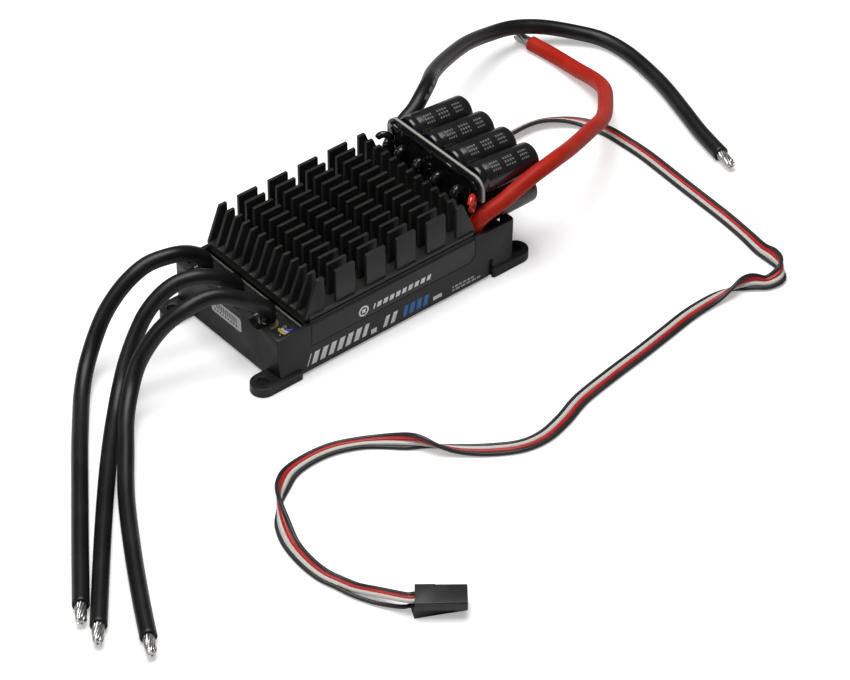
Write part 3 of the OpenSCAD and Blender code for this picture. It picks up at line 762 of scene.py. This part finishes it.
def circle(place, side, rise, radius, sides):
    return [
        place + radius * (math.cos(math.tau * j / sides) * side
                          + math.sin(math.tau * j / sides) * rise)
        for j in range(sides)
    ]


def power_lead(name, radius, sides, step):
    """A round lead with a cut end that shows the thickness of its rubber"""
    route = smooth_route(ROUTES[name], step)
    frames = carried_frames(route)
    end = frames[-1]
    shape = [(frame_[0], radius, frame_) for frame_ in frames[:-1]]
    shape += [
        (end[0] - end[1] * 0.00015, radius, end),
        (end[0], radius * 0.95, end),
        (end[0], radius * 0.78, end),
        (end[0] - end[1] * 0.0008, radius * 0.76, end),
    ]
    rings = [circle(place, f[2], f[3], r, sides) for place, r, f in shape]
    runs = run_lengths([place for place, _, _ in shape])
    piece = skin(name + "_insulation", rings, runs)
    return piece, [tuple(f[0]) for f in frames], end


def strand_tip(name, end, radius, tip_length, seed):
    """Twisted strands, tinned together, with a ragged end"""
    place, forward, side, rise = end
    strands, per_strand, steps = 9, 6, 22
    sides = strands * per_strand
    start = -0.0011
    rings = []
    for i in range(steps + 1):
        t = i / steps
        ring = []
        for j in range(sides):
            turn = math.tau * j / sides
            strand = j // per_strand
            across = abs(math.sin(math.pi * (j % per_strand) / per_strand))
            ragged = 0.0011 * noise.noise(Vector((strand * 1.7, seed * 3.1, 0.5)))
            along = start + t * (tip_length - start) + ragged * t ** 6
            swell = 1 + 0.06 * noise.noise(Vector((t * 4, seed, math.cos(turn))))
            taper = 1 - 0.10 * t - 0.30 * t ** 14
            grow = radius * (0.86 + 0.14 * across) * swell * taper
            angle = turn + 1.5 * t
            ring.append(
                place + forward * along
                + grow * (math.cos(angle) * side + math.sin(angle) * rise)
            )
        rings.append(ring)
    last = rings[-1]
    centre = sum(last, Vector()) / sides
    for keep, sink in ((0.62, 0.0001), (0.25, -0.0002)):
        rings.append([centre + (p - centre) * keep + forward * sink for p in last])
    return skin(name + "_strands", rings, [i * 0.0003 for i in range(len(rings))])


def wire_section(count, radius):
    """Points across and through a flat lead of round wires, joined side by side"""
    middles = [(count - 1) * radius - 2 * radius * i for i in range(count)]
    top, owners = [], []
    for index, middle in enumerate(middles):
        angles = [30, 60, 90, 120, 150]
        if index == 0:
            angles = [0, *angles]
        if index == count - 1:
            angles = [*angles, 180]
        for angle in angles:
            turn = math.radians(angle)
            top.append((middle + radius * math.cos(turn), radius * math.sin(turn)))
            owners.append(index)
    bottom = [(x, -y) for x, y in reversed(top[1:-1])]
    return top + bottom, owners + list(reversed(owners[1:-1]))


def flat_lead(name, route, count, radius, step, materials):
    points = smooth_route(route, step)
    frames = flat_frames(points)
    section, owners = wire_section(count, radius)
    rings = [[f[0] + f[2] * x + f[3] * y for x, y in section] for f in frames]
    places = [f[0] for f in frames]
    piece = skin(name, rings, run_lengths(places), lambda j: owners[j])
    dress(piece, *materials)
    piece.data.update()
    return piece, [tuple(p) for p in places]


def tinned():
    return finish(
        "Tinned strands", base=(0.70, 0.69, 0.66), worn=(0.30, 0.29, 0.27), rough=(0.18, 0.42),
        grain=1400.0, bump=0.00003, metallic=0.95, mottle=500.0, amount=0.6, dust=0.3,
    )


def rubber(name, base, worn, rough=(0.30, 0.46), amount=0.4, dust=0.25, specular=0.35, uv=False):
    """Dusty silicone rubber, as on every power lead"""
    return Finish(
        name, base=tuple(base), worn=worn, rough=rough, grain=1800.0, bump=0.000007, mottle=90.0,
        amount=amount, dust=dust, specular=specular, uv=uv,
    )


def wire_finish(name, base, worn):
    return finish(
        name, base=base, worn=worn, rough=(0.32, 0.5), grain=1500.0, bump=0.000006,
        mottle=120.0, amount=0.35, dust=0.12,
    )


class CONTROLLER_OT_power_leads(Operator):
    """Makes the three motor leads and two battery leads, with their tinned tips"""

    bl_idname = "controller.power_leads"
    bl_label = "Power leads"

    def execute(self, context):
        lead = settings().leads
        black_worn = (0.022, 0.022, 0.023)
        black = rubber("Black silicone rubber", lead.black, black_worn)
        printed = rubber("Black silicone rubber, marked", lead.black, black_worn, uv=True)
        for turn, start in ((0.12, 0.034), (0.62, 0.034), (0.37, 0.118), (0.87, 0.118)):
            printed.bars(
                (turn, start, 0.0), (0.0105, 1.0, 0.040), (0.13, 0.13, 0.13), 0.0034, 0.6,
                0.0, ALONG_UV,
            )
        red = rubber(
            "Red silicone rubber", lead.red, (0.52, 0.045, 0.022), rough=(0.34, 0.52),
            amount=0.45, dust=0.15, specular=0.12,
        )
        for seed, name in enumerate(LEAD_LENGTHS):
            piece, path, end = power_lead(name, lead.diameter / 2, lead.sides, lead.step)
            coat = {"battery_lead_red": red, "battery_lead_black": printed}.get(name, black)
            dress(piece, coat.material)
            give(piece, "red_insulation" if "red" in name else "black_insulation", name)
            tip_name = TIPS[name]
            tip = strand_tip(tip_name, end, lead.tip_diameter / 2, lead.tip_length, seed)
            dress(tip, tinned())
            give(tip, "tin", tip_name)
        return {"FINISHED"}


class CONTROLLER_OT_signal_lead(Operator):
    """Makes the flat signal lead, its parted end, its plugs and their contacts"""

    bl_idname = "controller.signal_lead"
    bl_label = "Signal lead"

    def execute(self, context):
        lead = settings().leads
        radius = lead.wire_diameter / 2
        black = wire_finish("Black wire", (0.012, 0.012, 0.012), (0.05, 0.05, 0.05))
        red = wire_finish("Red wire", tuple(lead.wire_red), (0.62, 0.05, 0.04))
        white = wire_finish("White wire", tuple(lead.wire_white), (0.55, 0.53, 0.49))
        ribbon, path = flat_lead(
            "signal_ribbon_wires", RIBBON_ROUTE, 4, radius, lead.step, [black, red, white, black]
        )
        give(ribbon, "ribbon_insulation", "signal_ribbon")
        end, _ = flat_lead(
            "signal_ribbon_end_wires", RIBBON_END_ROUTE, 3, radius, 0.0008, [black, red, white]
        )
        give(end, "ribbon_insulation", "signal_ribbon_end")
        tail, _ = flat_lead("signal_tail_wire", TAIL_ROUTE, 1, radius, 0.0008, [black])
        give(tail, "ribbon_insulation", "signal_tail")
        plastic = finish(
            "Plug plastic", base=(0.010, 0.010, 0.010), worn=(0.03, 0.03, 0.03),
            rough=(0.34, 0.5), grain=1200.0, bump=0.000008, mottle=150.0, dust=0.2,
        )
        gilt = finish(
            "Plated contacts", base=(0.82, 0.62, 0.28), rough=(0.22, 0.4), metallic=1.0,
            worn=(0.6, 0.5, 0.3),
        )
        others = [end, tail]
        for side in ("upper", "lower"):
            plug = side + "_plug"
            others += [
                edged(plug + "_housing", plug, 0.00018, "plug_plastic", plastic),
                edged(plug + "_springs", plug + "_contacts", 0.00005, "contact_brass", gilt),
            ]
        return {"FINISHED"}


# ---- Case ----


def printed_side(coat, side_y, white, blue):
    """Plain marks on the near side of the lower case"""
    grey = tuple(c * 0.6 for c in white)
    marks = (
        # place along and up, half length and half height, colour, then pitch, fill and slant
        (-0.0263, 0.0050, 0.0112, 0.0021, white, 0.0032, 0.62, 0.35),
        (-0.0128, 0.0032, 0.0011, 0.0009, white, 1.0, 1.0, 0.0),
        (-0.0058, 0.0044, 0.0029, 0.0019, white, 0.0030, 0.55, 0.35),
        (0.0039, 0.0044, 0.0051, 0.0019, blue, 0.0027, 0.62, 0.2),
        (0.0119, 0.0034, 0.0017, 0.0007, white, 1.0, 1.0, 0.0),
        (0.0220, 0.0038, 0.0042, 0.00035, grey, 0.0016, 0.75, 0.0),
        (0.0233, 0.0026, 0.0056, 0.00035, grey, 0.0021, 0.8, 0.0),
    )
    for x, z, half_length, half_height, shade, *pattern in marks:
        coat.bars((x, side_y, z), (half_length, PRINT_DEPTH, half_height), shade, *pattern)


class CONTROLLER_OT_lower_case(Operator):
    """Makes the moulded lower case, with plain marks on its near side"""

    bl_idname = "controller.lower_case"
    bl_label = "Lower case"

    def execute(self, context):
        case = settings().case
        plastic = Finish(
            "Moulded case plastic", base=tuple(case.plastic), worn=(0.03, 0.03, 0.031),
            rough=(0.34, 0.50), grain=1600.0, bump=0.000008, mottle=70.0, amount=0.35, dust=0.12,
            specular=0.3,
        )
        side_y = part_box("heat_sink")[0].y
        printed_side(plastic, side_y, tuple(case.print_white), tuple(case.print_blue))
        edged("lower_case_moulding", "lower_case", case.edge, "case_plastic", plastic.material)
        return {"FINISHED"}


class CONTROLLER_OT_heat_sink(Operator):
    """Makes the finned heat sink, with a plain ring and bars on its near skirt"""

    bl_idname = "controller.heat_sink"
    bl_label = "Heat sink"

    def execute(self, context):
        case = settings().case
        side_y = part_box("heat_sink")[0].y
        white = tuple(case.print_white)
        anodised = Finish(
            "Black anodised aluminium", base=tuple(case.anodised), worn=(0.028, 0.0265, 0.025),
            rough=(0.30, 0.48), grain=700.0, bump=0.000006, stretch=(0.05, 1, 1), mottle=80.0,
            amount=0.4, dust=0.12, specular=0.3,
        )
        ring = (-0.0166, side_y, 0.0128)
        anodised.ring(ring, 0.0019, 0.0013, white, PRINT_DEPTH)
        anodised.bars(ring, (0.0007, PRINT_DEPTH, 0.0007), white)
        anodised.bars(
            (-0.0018, side_y, 0.0126), (0.0110, PRINT_DEPTH, 0.0009), white, 0.0024, 0.66, 0.3
        )
        edged(
            "heat_sink_extrusion", "heat_sink", case.fin_edge, "black_anodised", anodised.material
        )
        return {"FINISHED"}


class CONTROLLER_OT_case_screws(Operator):
    """Makes the screws that hold the heat sink to the lower case"""

    bl_idname = "controller.case_screws"
    bl_label = "Case screws"

    def execute(self, context):
        steel = finish(
            "Plated screw steel", base=(0.55, 0.55, 0.57), worn=(0.32, 0.31, 0.3), metallic=1.0,
            rough=(0.25, 0.45), grain=1500.0,
        )
        edged("case_screw_heads", "case_screws", 0.00012, "screw_steel", steel)
        return {"FINISHED"}


class CONTROLLER_OT_label(Operator):
    """Finishes the small pale label on the end wall with plain bars"""

    bl_idname = "controller.label"
    bl_label = "Label"

    def execute(self, context):
        paper = Finish(
            "Paper label", base=(0.62, 0.62, 0.62), worn=(0.50, 0.50, 0.49), rough=(0.4, 0.55),
            mottle=200.0, amount=0.3,
        )
        low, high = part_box("serial_label")
        middle = (low + high) / 2
        quarter = (0, 0, math.pi / 2)
        # pitch, half length, half height and rise of each row of bars
        rows = ((0.0009, 0.0052, 0.00105, 0.0008), (0.00127, 0.0058, 0.00040, -0.0012))
        for pitch, half, half_height, rise in rows:
            paper.bars(
                (middle.x, middle.y, middle.z + rise), (half, 0.001, half_height),
                (0.03, 0.03, 0.03), pitch, 0.55, 0.0, quarter,
            )
        dress(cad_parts["serial_label"], paper.material)
        return {"FINISHED"}


# ---- Capacitors ----


def can_places():
    """Where each capacitor stands: its base centre, with its length along the turned Z"""
    rows = []
    for step in (-1.5, -0.5, 0.5, 1.5):
        y = step * CAN_SPACING
        rows.append((Vector((0.0328, y, 0.01875)), 0.0))
        rows.append((Vector((0.0333, y, 0.0312)), DROOP))
    return [
        Matrix.Translation(at)
        @ Matrix.Rotation(math.radians(90 + droop), 4, "Y")
        @ Matrix.Rotation(math.radians(180), 4, "Z")
        for at, droop in rows
    ]


def printed_film(colour_of_film):
    """Shrunk film with rows of plain bars, in groups round it and along it"""
    film = Finish(
        "Shrunk black film", base=colour_of_film, worn=(0.03, 0.03, 0.031),
        rough=(0.16, 0.30), grain=500.0, bump=0.000012, mottle=120.0, amount=0.3, dust=0.15,
        uv=True, specular=0.6,
    )
    for across in (-0.0125, 0.0022, 0.0135):
        for place, half, pitch in (
            (0.0068, 0.0017, 0.00085), (0.0124, 0.0020, 0.0010), (0.0180, 0.0016, 0.00075)
        ):
            film.bars(
                (across, place, 0.0), (half, 0.001, 0.0019), (0.17, 0.17, 0.17), pitch, 0.62,
                0.0, ALONG_UV, 0.0013, 0.55,
            )
    return film.material


class CONTROLLER_OT_capacitors(Operator):
    """Makes the eight capacitors: their shrunk sleeves, drawn cans and tinned leads"""

    bl_idname = "controller.capacitors"
    bl_label = "Capacitors"

    def execute(self, context):
        size = settings().capacitors
        radius, tall = size.diameter / 2, size.length
        places = can_places()
        sleeve = turned(
            "capacitor_sleeve",
            [
                (radius * 0.80, 0.0001), (radius * 0.93, 0.0001), (radius * 0.985, 0.0005),
                (radius, 0.0011), (radius, 0.0019), (radius * 0.955, 0.0024),
                (radius * 0.955, 0.0028), (radius, 0.0033), (radius, tall * 0.5),
                (radius, tall - 0.0009), (radius * 0.975, tall - 0.0004),
                (radius * 0.92, tall - 0.0001), (radius * 0.86, tall),
                (radius * 0.80, tall), (radius * 0.78, tall - 0.0012),
            ],
            48, 50,
        )
        barrel_map(sleeve, radius)
        dress(sleeve, printed_film(tuple(size.sleeve)))
        sleeves = copies("capacitor_sleeves_shrunk", sleeve, places)
        give(sleeves, "sleeve_film", "capacitor_sleeves")

        can = turned(
            "capacitor_can",
            [
                (radius * 0.5, 0.0006), (radius * 0.84, 0.0006), (radius * 0.90, 0.0012),
                (radius * 0.90, tall - 0.0008), (radius * 0.86, tall - 0.00045),
                (radius * 0.62, tall - 0.00035), (radius * 0.60, tall - 0.00045),
                (radius * 0.10, tall - 0.00045),
            ],
            48, 50,
        )
        barrel_map(can, radius)
        dress(can, finish(
            "Capacitor can", base=(0.72, 0.72, 0.74), worn=(0.55, 0.55, 0.56), metallic=1.0,
            rough=(0.22, 0.36), grain=900.0, bump=0.000006,
        ))
        cans = copies("capacitor_cans_drawn", can, places)
        give(cans, "can_aluminium", "capacitor_cans")
        dress(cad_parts["capacitor_leads"], tinned())
        return {"FINISHED"}


class CONTROLLER_OT_capacitor_board(Operator):
    """Makes the board that carries the capacitors, with its pale sawn edge"""

    bl_idname = "controller.capacitor_board"
    bl_label = "Capacitor board"

    def execute(self, context):
        board = softened("capacitor_board_cut", ["capacitor_board"], 0.00010, 1)
        mask = finish(
            "Black solder mask", base=(0.010, 0.011, 0.011), worn=(0.03, 0.032, 0.03),
            rough=(0.25, 0.4), coat=0.2, grain=900.0,
        )
        edge = Finish(
            "Sawn board edge", base=(0.012, 0.012, 0.012), worn=(0.03, 0.03, 0.03),
            rough=(0.25, 0.45), grain=1500.0, bump=0.00002, mottle=400.0, amount=0.5,
        )
        low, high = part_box("capacitor_board")
        edge.bars(tuple((low + high) / 2), (0.00042, 0.03, 0.03), (0.38, 0.37, 0.34))
        dress(board, mask, edge.material)
        for polygon in board.data.polygons:
            polygon.material_index = 0 if abs(polygon.normal.x) > 0.6 else 1
        give(board, "bare_board", "capacitor_board")
        return {"FINISHED"}


class CONTROLLER_OT_sealant(Operator):
    """Makes the glossy sealant that was poured over the capacitor board"""

    bl_idname = "controller.sealant"
    bl_label = "Sealant"

    def execute(self, context):
        gloss = finish(
            "Glossy sealant", base=(0.006, 0.006, 0.006), worn=(0.012, 0.012, 0.012),
            rough=(0.10, 0.22), coat=0.6, coat_rough=0.06, grain=260.0, bump=0.00006,
            mottle=150.0, dust=0.1,
        )
        sealant = lump(
            "capacitor_sealant_poured", ["capacitor_sealant"], 0.0003, 6, 0.0009, 210.0, 0.0003
        )
        finished(sealant, "sealant", ["capacitor_sealant"], gloss)
        return {"FINISHED"}


def glossy_sleeve(name, base, worn):
    return finish(
        name, base=base, worn=worn, rough=(0.14, 0.26), coat=0.4, coat_rough=0.08, grain=600.0
    )


class CONTROLLER_OT_links(Operator):
    """Makes the sleeved links between the boards and the two corner jumpers"""

    bl_idname = "controller.links"
    bl_label = "Links and jumpers"

    def execute(self, context):
        black = glossy_sleeve("Glossy link sleeve", (0.008, 0.008, 0.008), (0.02, 0.02, 0.02))
        red = glossy_sleeve("Glossy red sleeve", (0.55, 0.02, 0.012), (0.65, 0.06, 0.03))
        # node, finish, slot, then the height and spacing of its ripples and its swelling
        for node, material, slot, ripple, spacing, swelling in (
            ("board_links", black, "black_insulation", 0.00025, 500.0, 0.0004),
            ("black_jumper", black, "black_insulation", 0.0002, 500.0, 0.0002),
            ("red_jumper", red, "red_insulation", 0.0003, 600.0, 0.0002),
        ):
            bent = lump(node + "_bent", [node], 0.0002, 3, ripple, spacing, swelling)
            finished(bent, slot, [node], material)
        return {"FINISHED"}


# ---- Boards ----


class CONTROLLER_OT_power_board(Operator):
    """Makes the power board with its plain marks and rings, and its bright bus bars"""

    bl_idname = "controller.power_board"
    bl_label = "Power board"

    def execute(self, context):
        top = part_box("power_board")[1].z
        board = Finish(
            "Power board mask", base=(0.005, 0.0055, 0.005), worn=(0.016, 0.017, 0.014),
            rough=(0.3, 0.45), grain=900.0, mottle=220.0, amount=0.5, specular=0.3,
        )
        lying = (math.pi / 2, 0, 0)
        deep = 0.0009
        pale, gold = (0.45, 0.45, 0.43), (0.16, 0.13, 0.08)
        for y in (-0.0205, -0.0085, 0.0085, 0.0205):
            board.bars((-0.0432, y, top), (0.0016, deep, 0.00022), pale, 0.0009, 0.6, 0.0, lying)
            board.ring((-0.0412, y + 0.0021, top), 0.0006, 0.00025, gold, deep, "Z")
            board.ring((-0.0445, y - 0.0023, top), 0.0005, 0.0002, gold, deep, "Z")
        for y in (0.016, 0.001, -0.014):
            board.ring((-0.044, y, top), 0.0031, 0.0, gold, deep, "Z")
        edged("power_board_cut", "power_board", 0.00010, "black_board", board.material, 1)
        bright = finish(
            "Bright bus bar", base=(0.80, 0.79, 0.76), worn=(0.5, 0.49, 0.46), metallic=1.0,
            rough=(0.2, 0.38), grain=700.0,
        )
        edged("phase_bus_bars_cut", "phase_bus_bars", 0.00010, "tin", bright)
        return {"FINISHED"}


class CONTROLLER_OT_solder(Operator):
    """Makes the solder joints of the motor leads and battery leads"""

    bl_idname = "controller.solder"
    bl_label = "Solder joints"

    def execute(self, context):
        solder = finish(
            "Flowed solder", base=(0.66, 0.66, 0.65), worn=(0.42, 0.41, 0.40), metallic=1.0,
            rough=(0.16, 0.36), grain=500.0, bump=0.00003,
        )
        for node in ("phase_solder_joints", "battery_solder_joints"):
            joints = lump(node + "_flowed", [node], 0.00022, 4, 0.00006, 900.0)
            finished(joints, "tin", [node], solder)
        return {"FINISHED"}


class CONTROLLER_OT_sense_wires(Operator):
    """Makes the three thin wires in the corner of the power board"""

    bl_idname = "controller.sense_wires"
    bl_label = "Sense wires"

    def execute(self, context):
        shades = (
            ("Blue wire", (0.012, 0.02, 0.16), (0.03, 0.05, 0.22)),
            ("White thin wire", (0.36, 0.35, 0.33), (0.25, 0.24, 0.22)),
            ("Yellow wire", (0.38, 0.27, 0.04), (0.45, 0.35, 0.12)),
        )
        wires = copy_of_node("sense_wires_bent", "sense_wires")
        dress(wires, *[wire_finish(*shade) for shade in shades])
        centre_x, centre_z = -0.041, 0.01616
        inner, outer = 0.00157, 0.00252  # halfway between one wire's arc and the next
        for polygon in wires.data.polygons:
            spot = polygon.center
            away = math.hypot(spot.x - centre_x, spot.z - centre_z)
            polygon.material_index = 0 if away < inner else 1 if away < outer else 2
        done(wires, 50)
        give(wires, "sense_insulation", "sense_wires")
        return {"FINISHED"}


class CONTROLLER_OT_inner_pieces(Operator):
    """Finishes the chips, control board, spacers, pad, connector and inductor inside the case"""

    bl_idname = "controller.inner_pieces"
    bl_label = "Inner pieces"

    def execute(self, context):
        resin = finish(
            "Chip resin", base=(0.014, 0.014, 0.014), worn=(0.04, 0.04, 0.04), rough=(0.4, 0.6),
            grain=1800.0, bump=0.00001,
        )
        inside = {
            "power_transistors": resin,
            "gate_drivers": resin,
            "controller_chip": resin,
            "control_board": finish(
                "Green solder mask", base=(0.01, 0.10, 0.045), worn=(0.02, 0.16, 0.07),
                rough=(0.28, 0.42), coat=0.2, mottle=200.0,
            ),
            "board_spacers": finish(
                "Turned brass", base=(0.72, 0.5, 0.2), worn=(0.5, 0.36, 0.16), metallic=1.0,
                rough=(0.25, 0.4), stretch=(1, 1, 8),
            ),
            "thermal_pad": finish(
                "Thermal pad", base=(0.20, 0.25, 0.30), worn=(0.28, 0.32, 0.36),
                rough=(0.55, 0.75), grain=700.0, bump=0.00004,
            ),
            "board_connector": finish(
                "Connector nylon", base=(0.60, 0.58, 0.50), worn=(0.5, 0.48, 0.4),
                rough=(0.35, 0.5),
            ),
            "regulator_inductor": finish(
                "Pressed ferrite", base=(0.06, 0.06, 0.065), worn=(0.12, 0.12, 0.12),
                rough=(0.5, 0.7), grain=1200.0, bump=0.00003,
            ),
        }
        for node, material in inside.items():
            dress(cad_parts[node], material)
        return {"FINISHED"}


# ---- Stage ----


def soft_light(name, power, size, place, aim):
    data = bpy.data.lights.new(name, "AREA")
    data.energy = power
    data.shape = "SQUARE"
    data.size = size
    light = bpy.data.objects.new(name, data)
    bpy.context.scene.collection.objects.link(light)
    light.location = place
    light.rotation_euler = (Vector(aim) - Vector(place)).to_track_quat("-Z", "Y").to_euler()
    return light


def lift_floor(material):
    """Lifts the shadows that the camera sees"""
    tree = material.node_tree
    shader = tree.nodes["Principled BSDF"]
    seen = tree.nodes.new("ShaderNodeLightPath").outputs["Is Camera Ray"]
    pale = shader.inputs["Base Color"].links[0].from_socket
    tree.links.new(mix_colour(tree, seen, (0.88, 0.88, 0.88), pale), shader.inputs["Base Color"])
    shader.inputs["Emission Color"].default_value = (1, 1, 1, 1)
    tree.links.new(math_node(tree, "MULTIPLY", seen, 0.36), shader.inputs["Emission Strength"])


class CONTROLLER_OT_stage(Operator):
    """Makes the camera, the floor and the lights"""

    bl_idname = "controller.stage"
    bl_label = "Stage"

    def execute(self, context):
        stage = settings().stage
        scene = context.scene
        azimuth, elevation, tilt = map(
            math.radians, (CAMERA_AZIMUTH, CAMERA_ELEVATION, CAMERA_ROLL)
        )
        right = Vector((math.cos(azimuth), math.sin(azimuth), 0))
        back = Vector((
            math.sin(azimuth) * math.cos(elevation), -math.cos(azimuth) * math.cos(elevation),
            math.sin(elevation),
        ))
        up = back.cross(right)
        across = right * math.cos(tilt) - up * math.sin(tilt)
        upward = right * math.sin(tilt) + up * math.cos(tilt)
        view = Matrix((across, upward, back)).transposed().to_4x4()
        view.translation = CAMERA_PLACE
        data = bpy.data.cameras.new("Camera")
        data.lens = stage.lens
        data.sensor_width = 36.0
        data.clip_start = 0.05
        data.clip_end = 30.0
        camera = bpy.data.objects.new("Camera", data)
        scene.collection.objects.link(camera)
        camera.matrix_world = view
        scene.camera = camera

        clear_selection()
        bpy.ops.mesh.primitive_plane_add(size=stage.floor, location=(0, 0, 0))
        floor = context.active_object
        floor.name = "floor"
        edit(floor)
        bpy.ops.mesh.subdivide(number_cuts=3)
        done(floor)
        dress(floor, finish(
            "Pale floor", base=(0.93, 0.93, 0.93), worn=(0.90, 0.90, 0.90), rough=(0.7, 0.8),
            specular=0.1, mottle=2.0, amount=0.1, dust=0.0, bump=0.0,
        ))
        lift_floor(floor.data.materials[0])

        world = bpy.data.worlds.new("Room")
        scene.world = world
        world.use_nodes = True
        world.node_tree.nodes["Background"].inputs["Color"].default_value = (1, 1, 1, 1)
        world.node_tree.nodes["Background"].inputs["Strength"].default_value = stage.world
        soft_light("Top light", stage.key, 0.8, (0.0, 0.12, 1.1), (0, 0, 0))
        soft_light("Side light", stage.fill, 0.7, (-0.9, 0.15, 0.75), (0, 0, 0))
        scene.view_settings.view_transform = "Standard"
        return {"FINISHED"}


class CONTROLLER_PT_pieces(Panel):
    """Lists the makers of the speed controller's pieces, and their sizes and colours"""

    bl_idname = "CONTROLLER_PT_pieces"
    bl_label = "Speed controller"
    bl_space_type = "VIEW_3D"
    bl_region_type = "UI"
    bl_category = "Speed controller"

    def draw(self, context):
        for maker in MAKERS:
            self.layout.operator(maker.bl_idname)
        for name in ("leads", "case", "capacitors", "stage"):
            group = getattr(settings(), name)
            box = self.layout.box()
            for value in group.__annotations__:
                box.prop(group, value)


MAKERS = (
    CONTROLLER_OT_stage,
    CONTROLLER_OT_power_leads,
    CONTROLLER_OT_signal_lead,
    CONTROLLER_OT_lower_case,
    CONTROLLER_OT_heat_sink,
    CONTROLLER_OT_case_screws,
    CONTROLLER_OT_label,
    CONTROLLER_OT_capacitors,
    CONTROLLER_OT_capacitor_board,
    CONTROLLER_OT_sealant,
    CONTROLLER_OT_links,
    CONTROLLER_OT_power_board,
    CONTROLLER_OT_solder,
    CONTROLLER_OT_sense_wires,
    CONTROLLER_OT_inner_pieces,
)
CLASSES = (
    LeadSettings, CaseSettings, CapacitorSettings, StageSettings, ControllerSettings,
    *MAKERS, CONTROLLER_PT_pieces,
)


def register():
    for cls in CLASSES:
        bpy.utils.register_class(cls)
    bpy.types.Scene.speed_controller = PointerProperty(type=ControllerSettings)


def unregister():
    del bpy.types.Scene.speed_controller
    for cls in reversed(CLASSES):
        bpy.utils.unregister_class(cls)


def main():
    register()
    for maker in MAKERS:
        getattr(bpy.ops.controller, maker.bl_idname.split(".")[1])()
    clear_selection()


if __name__ == "__main__":
    main()
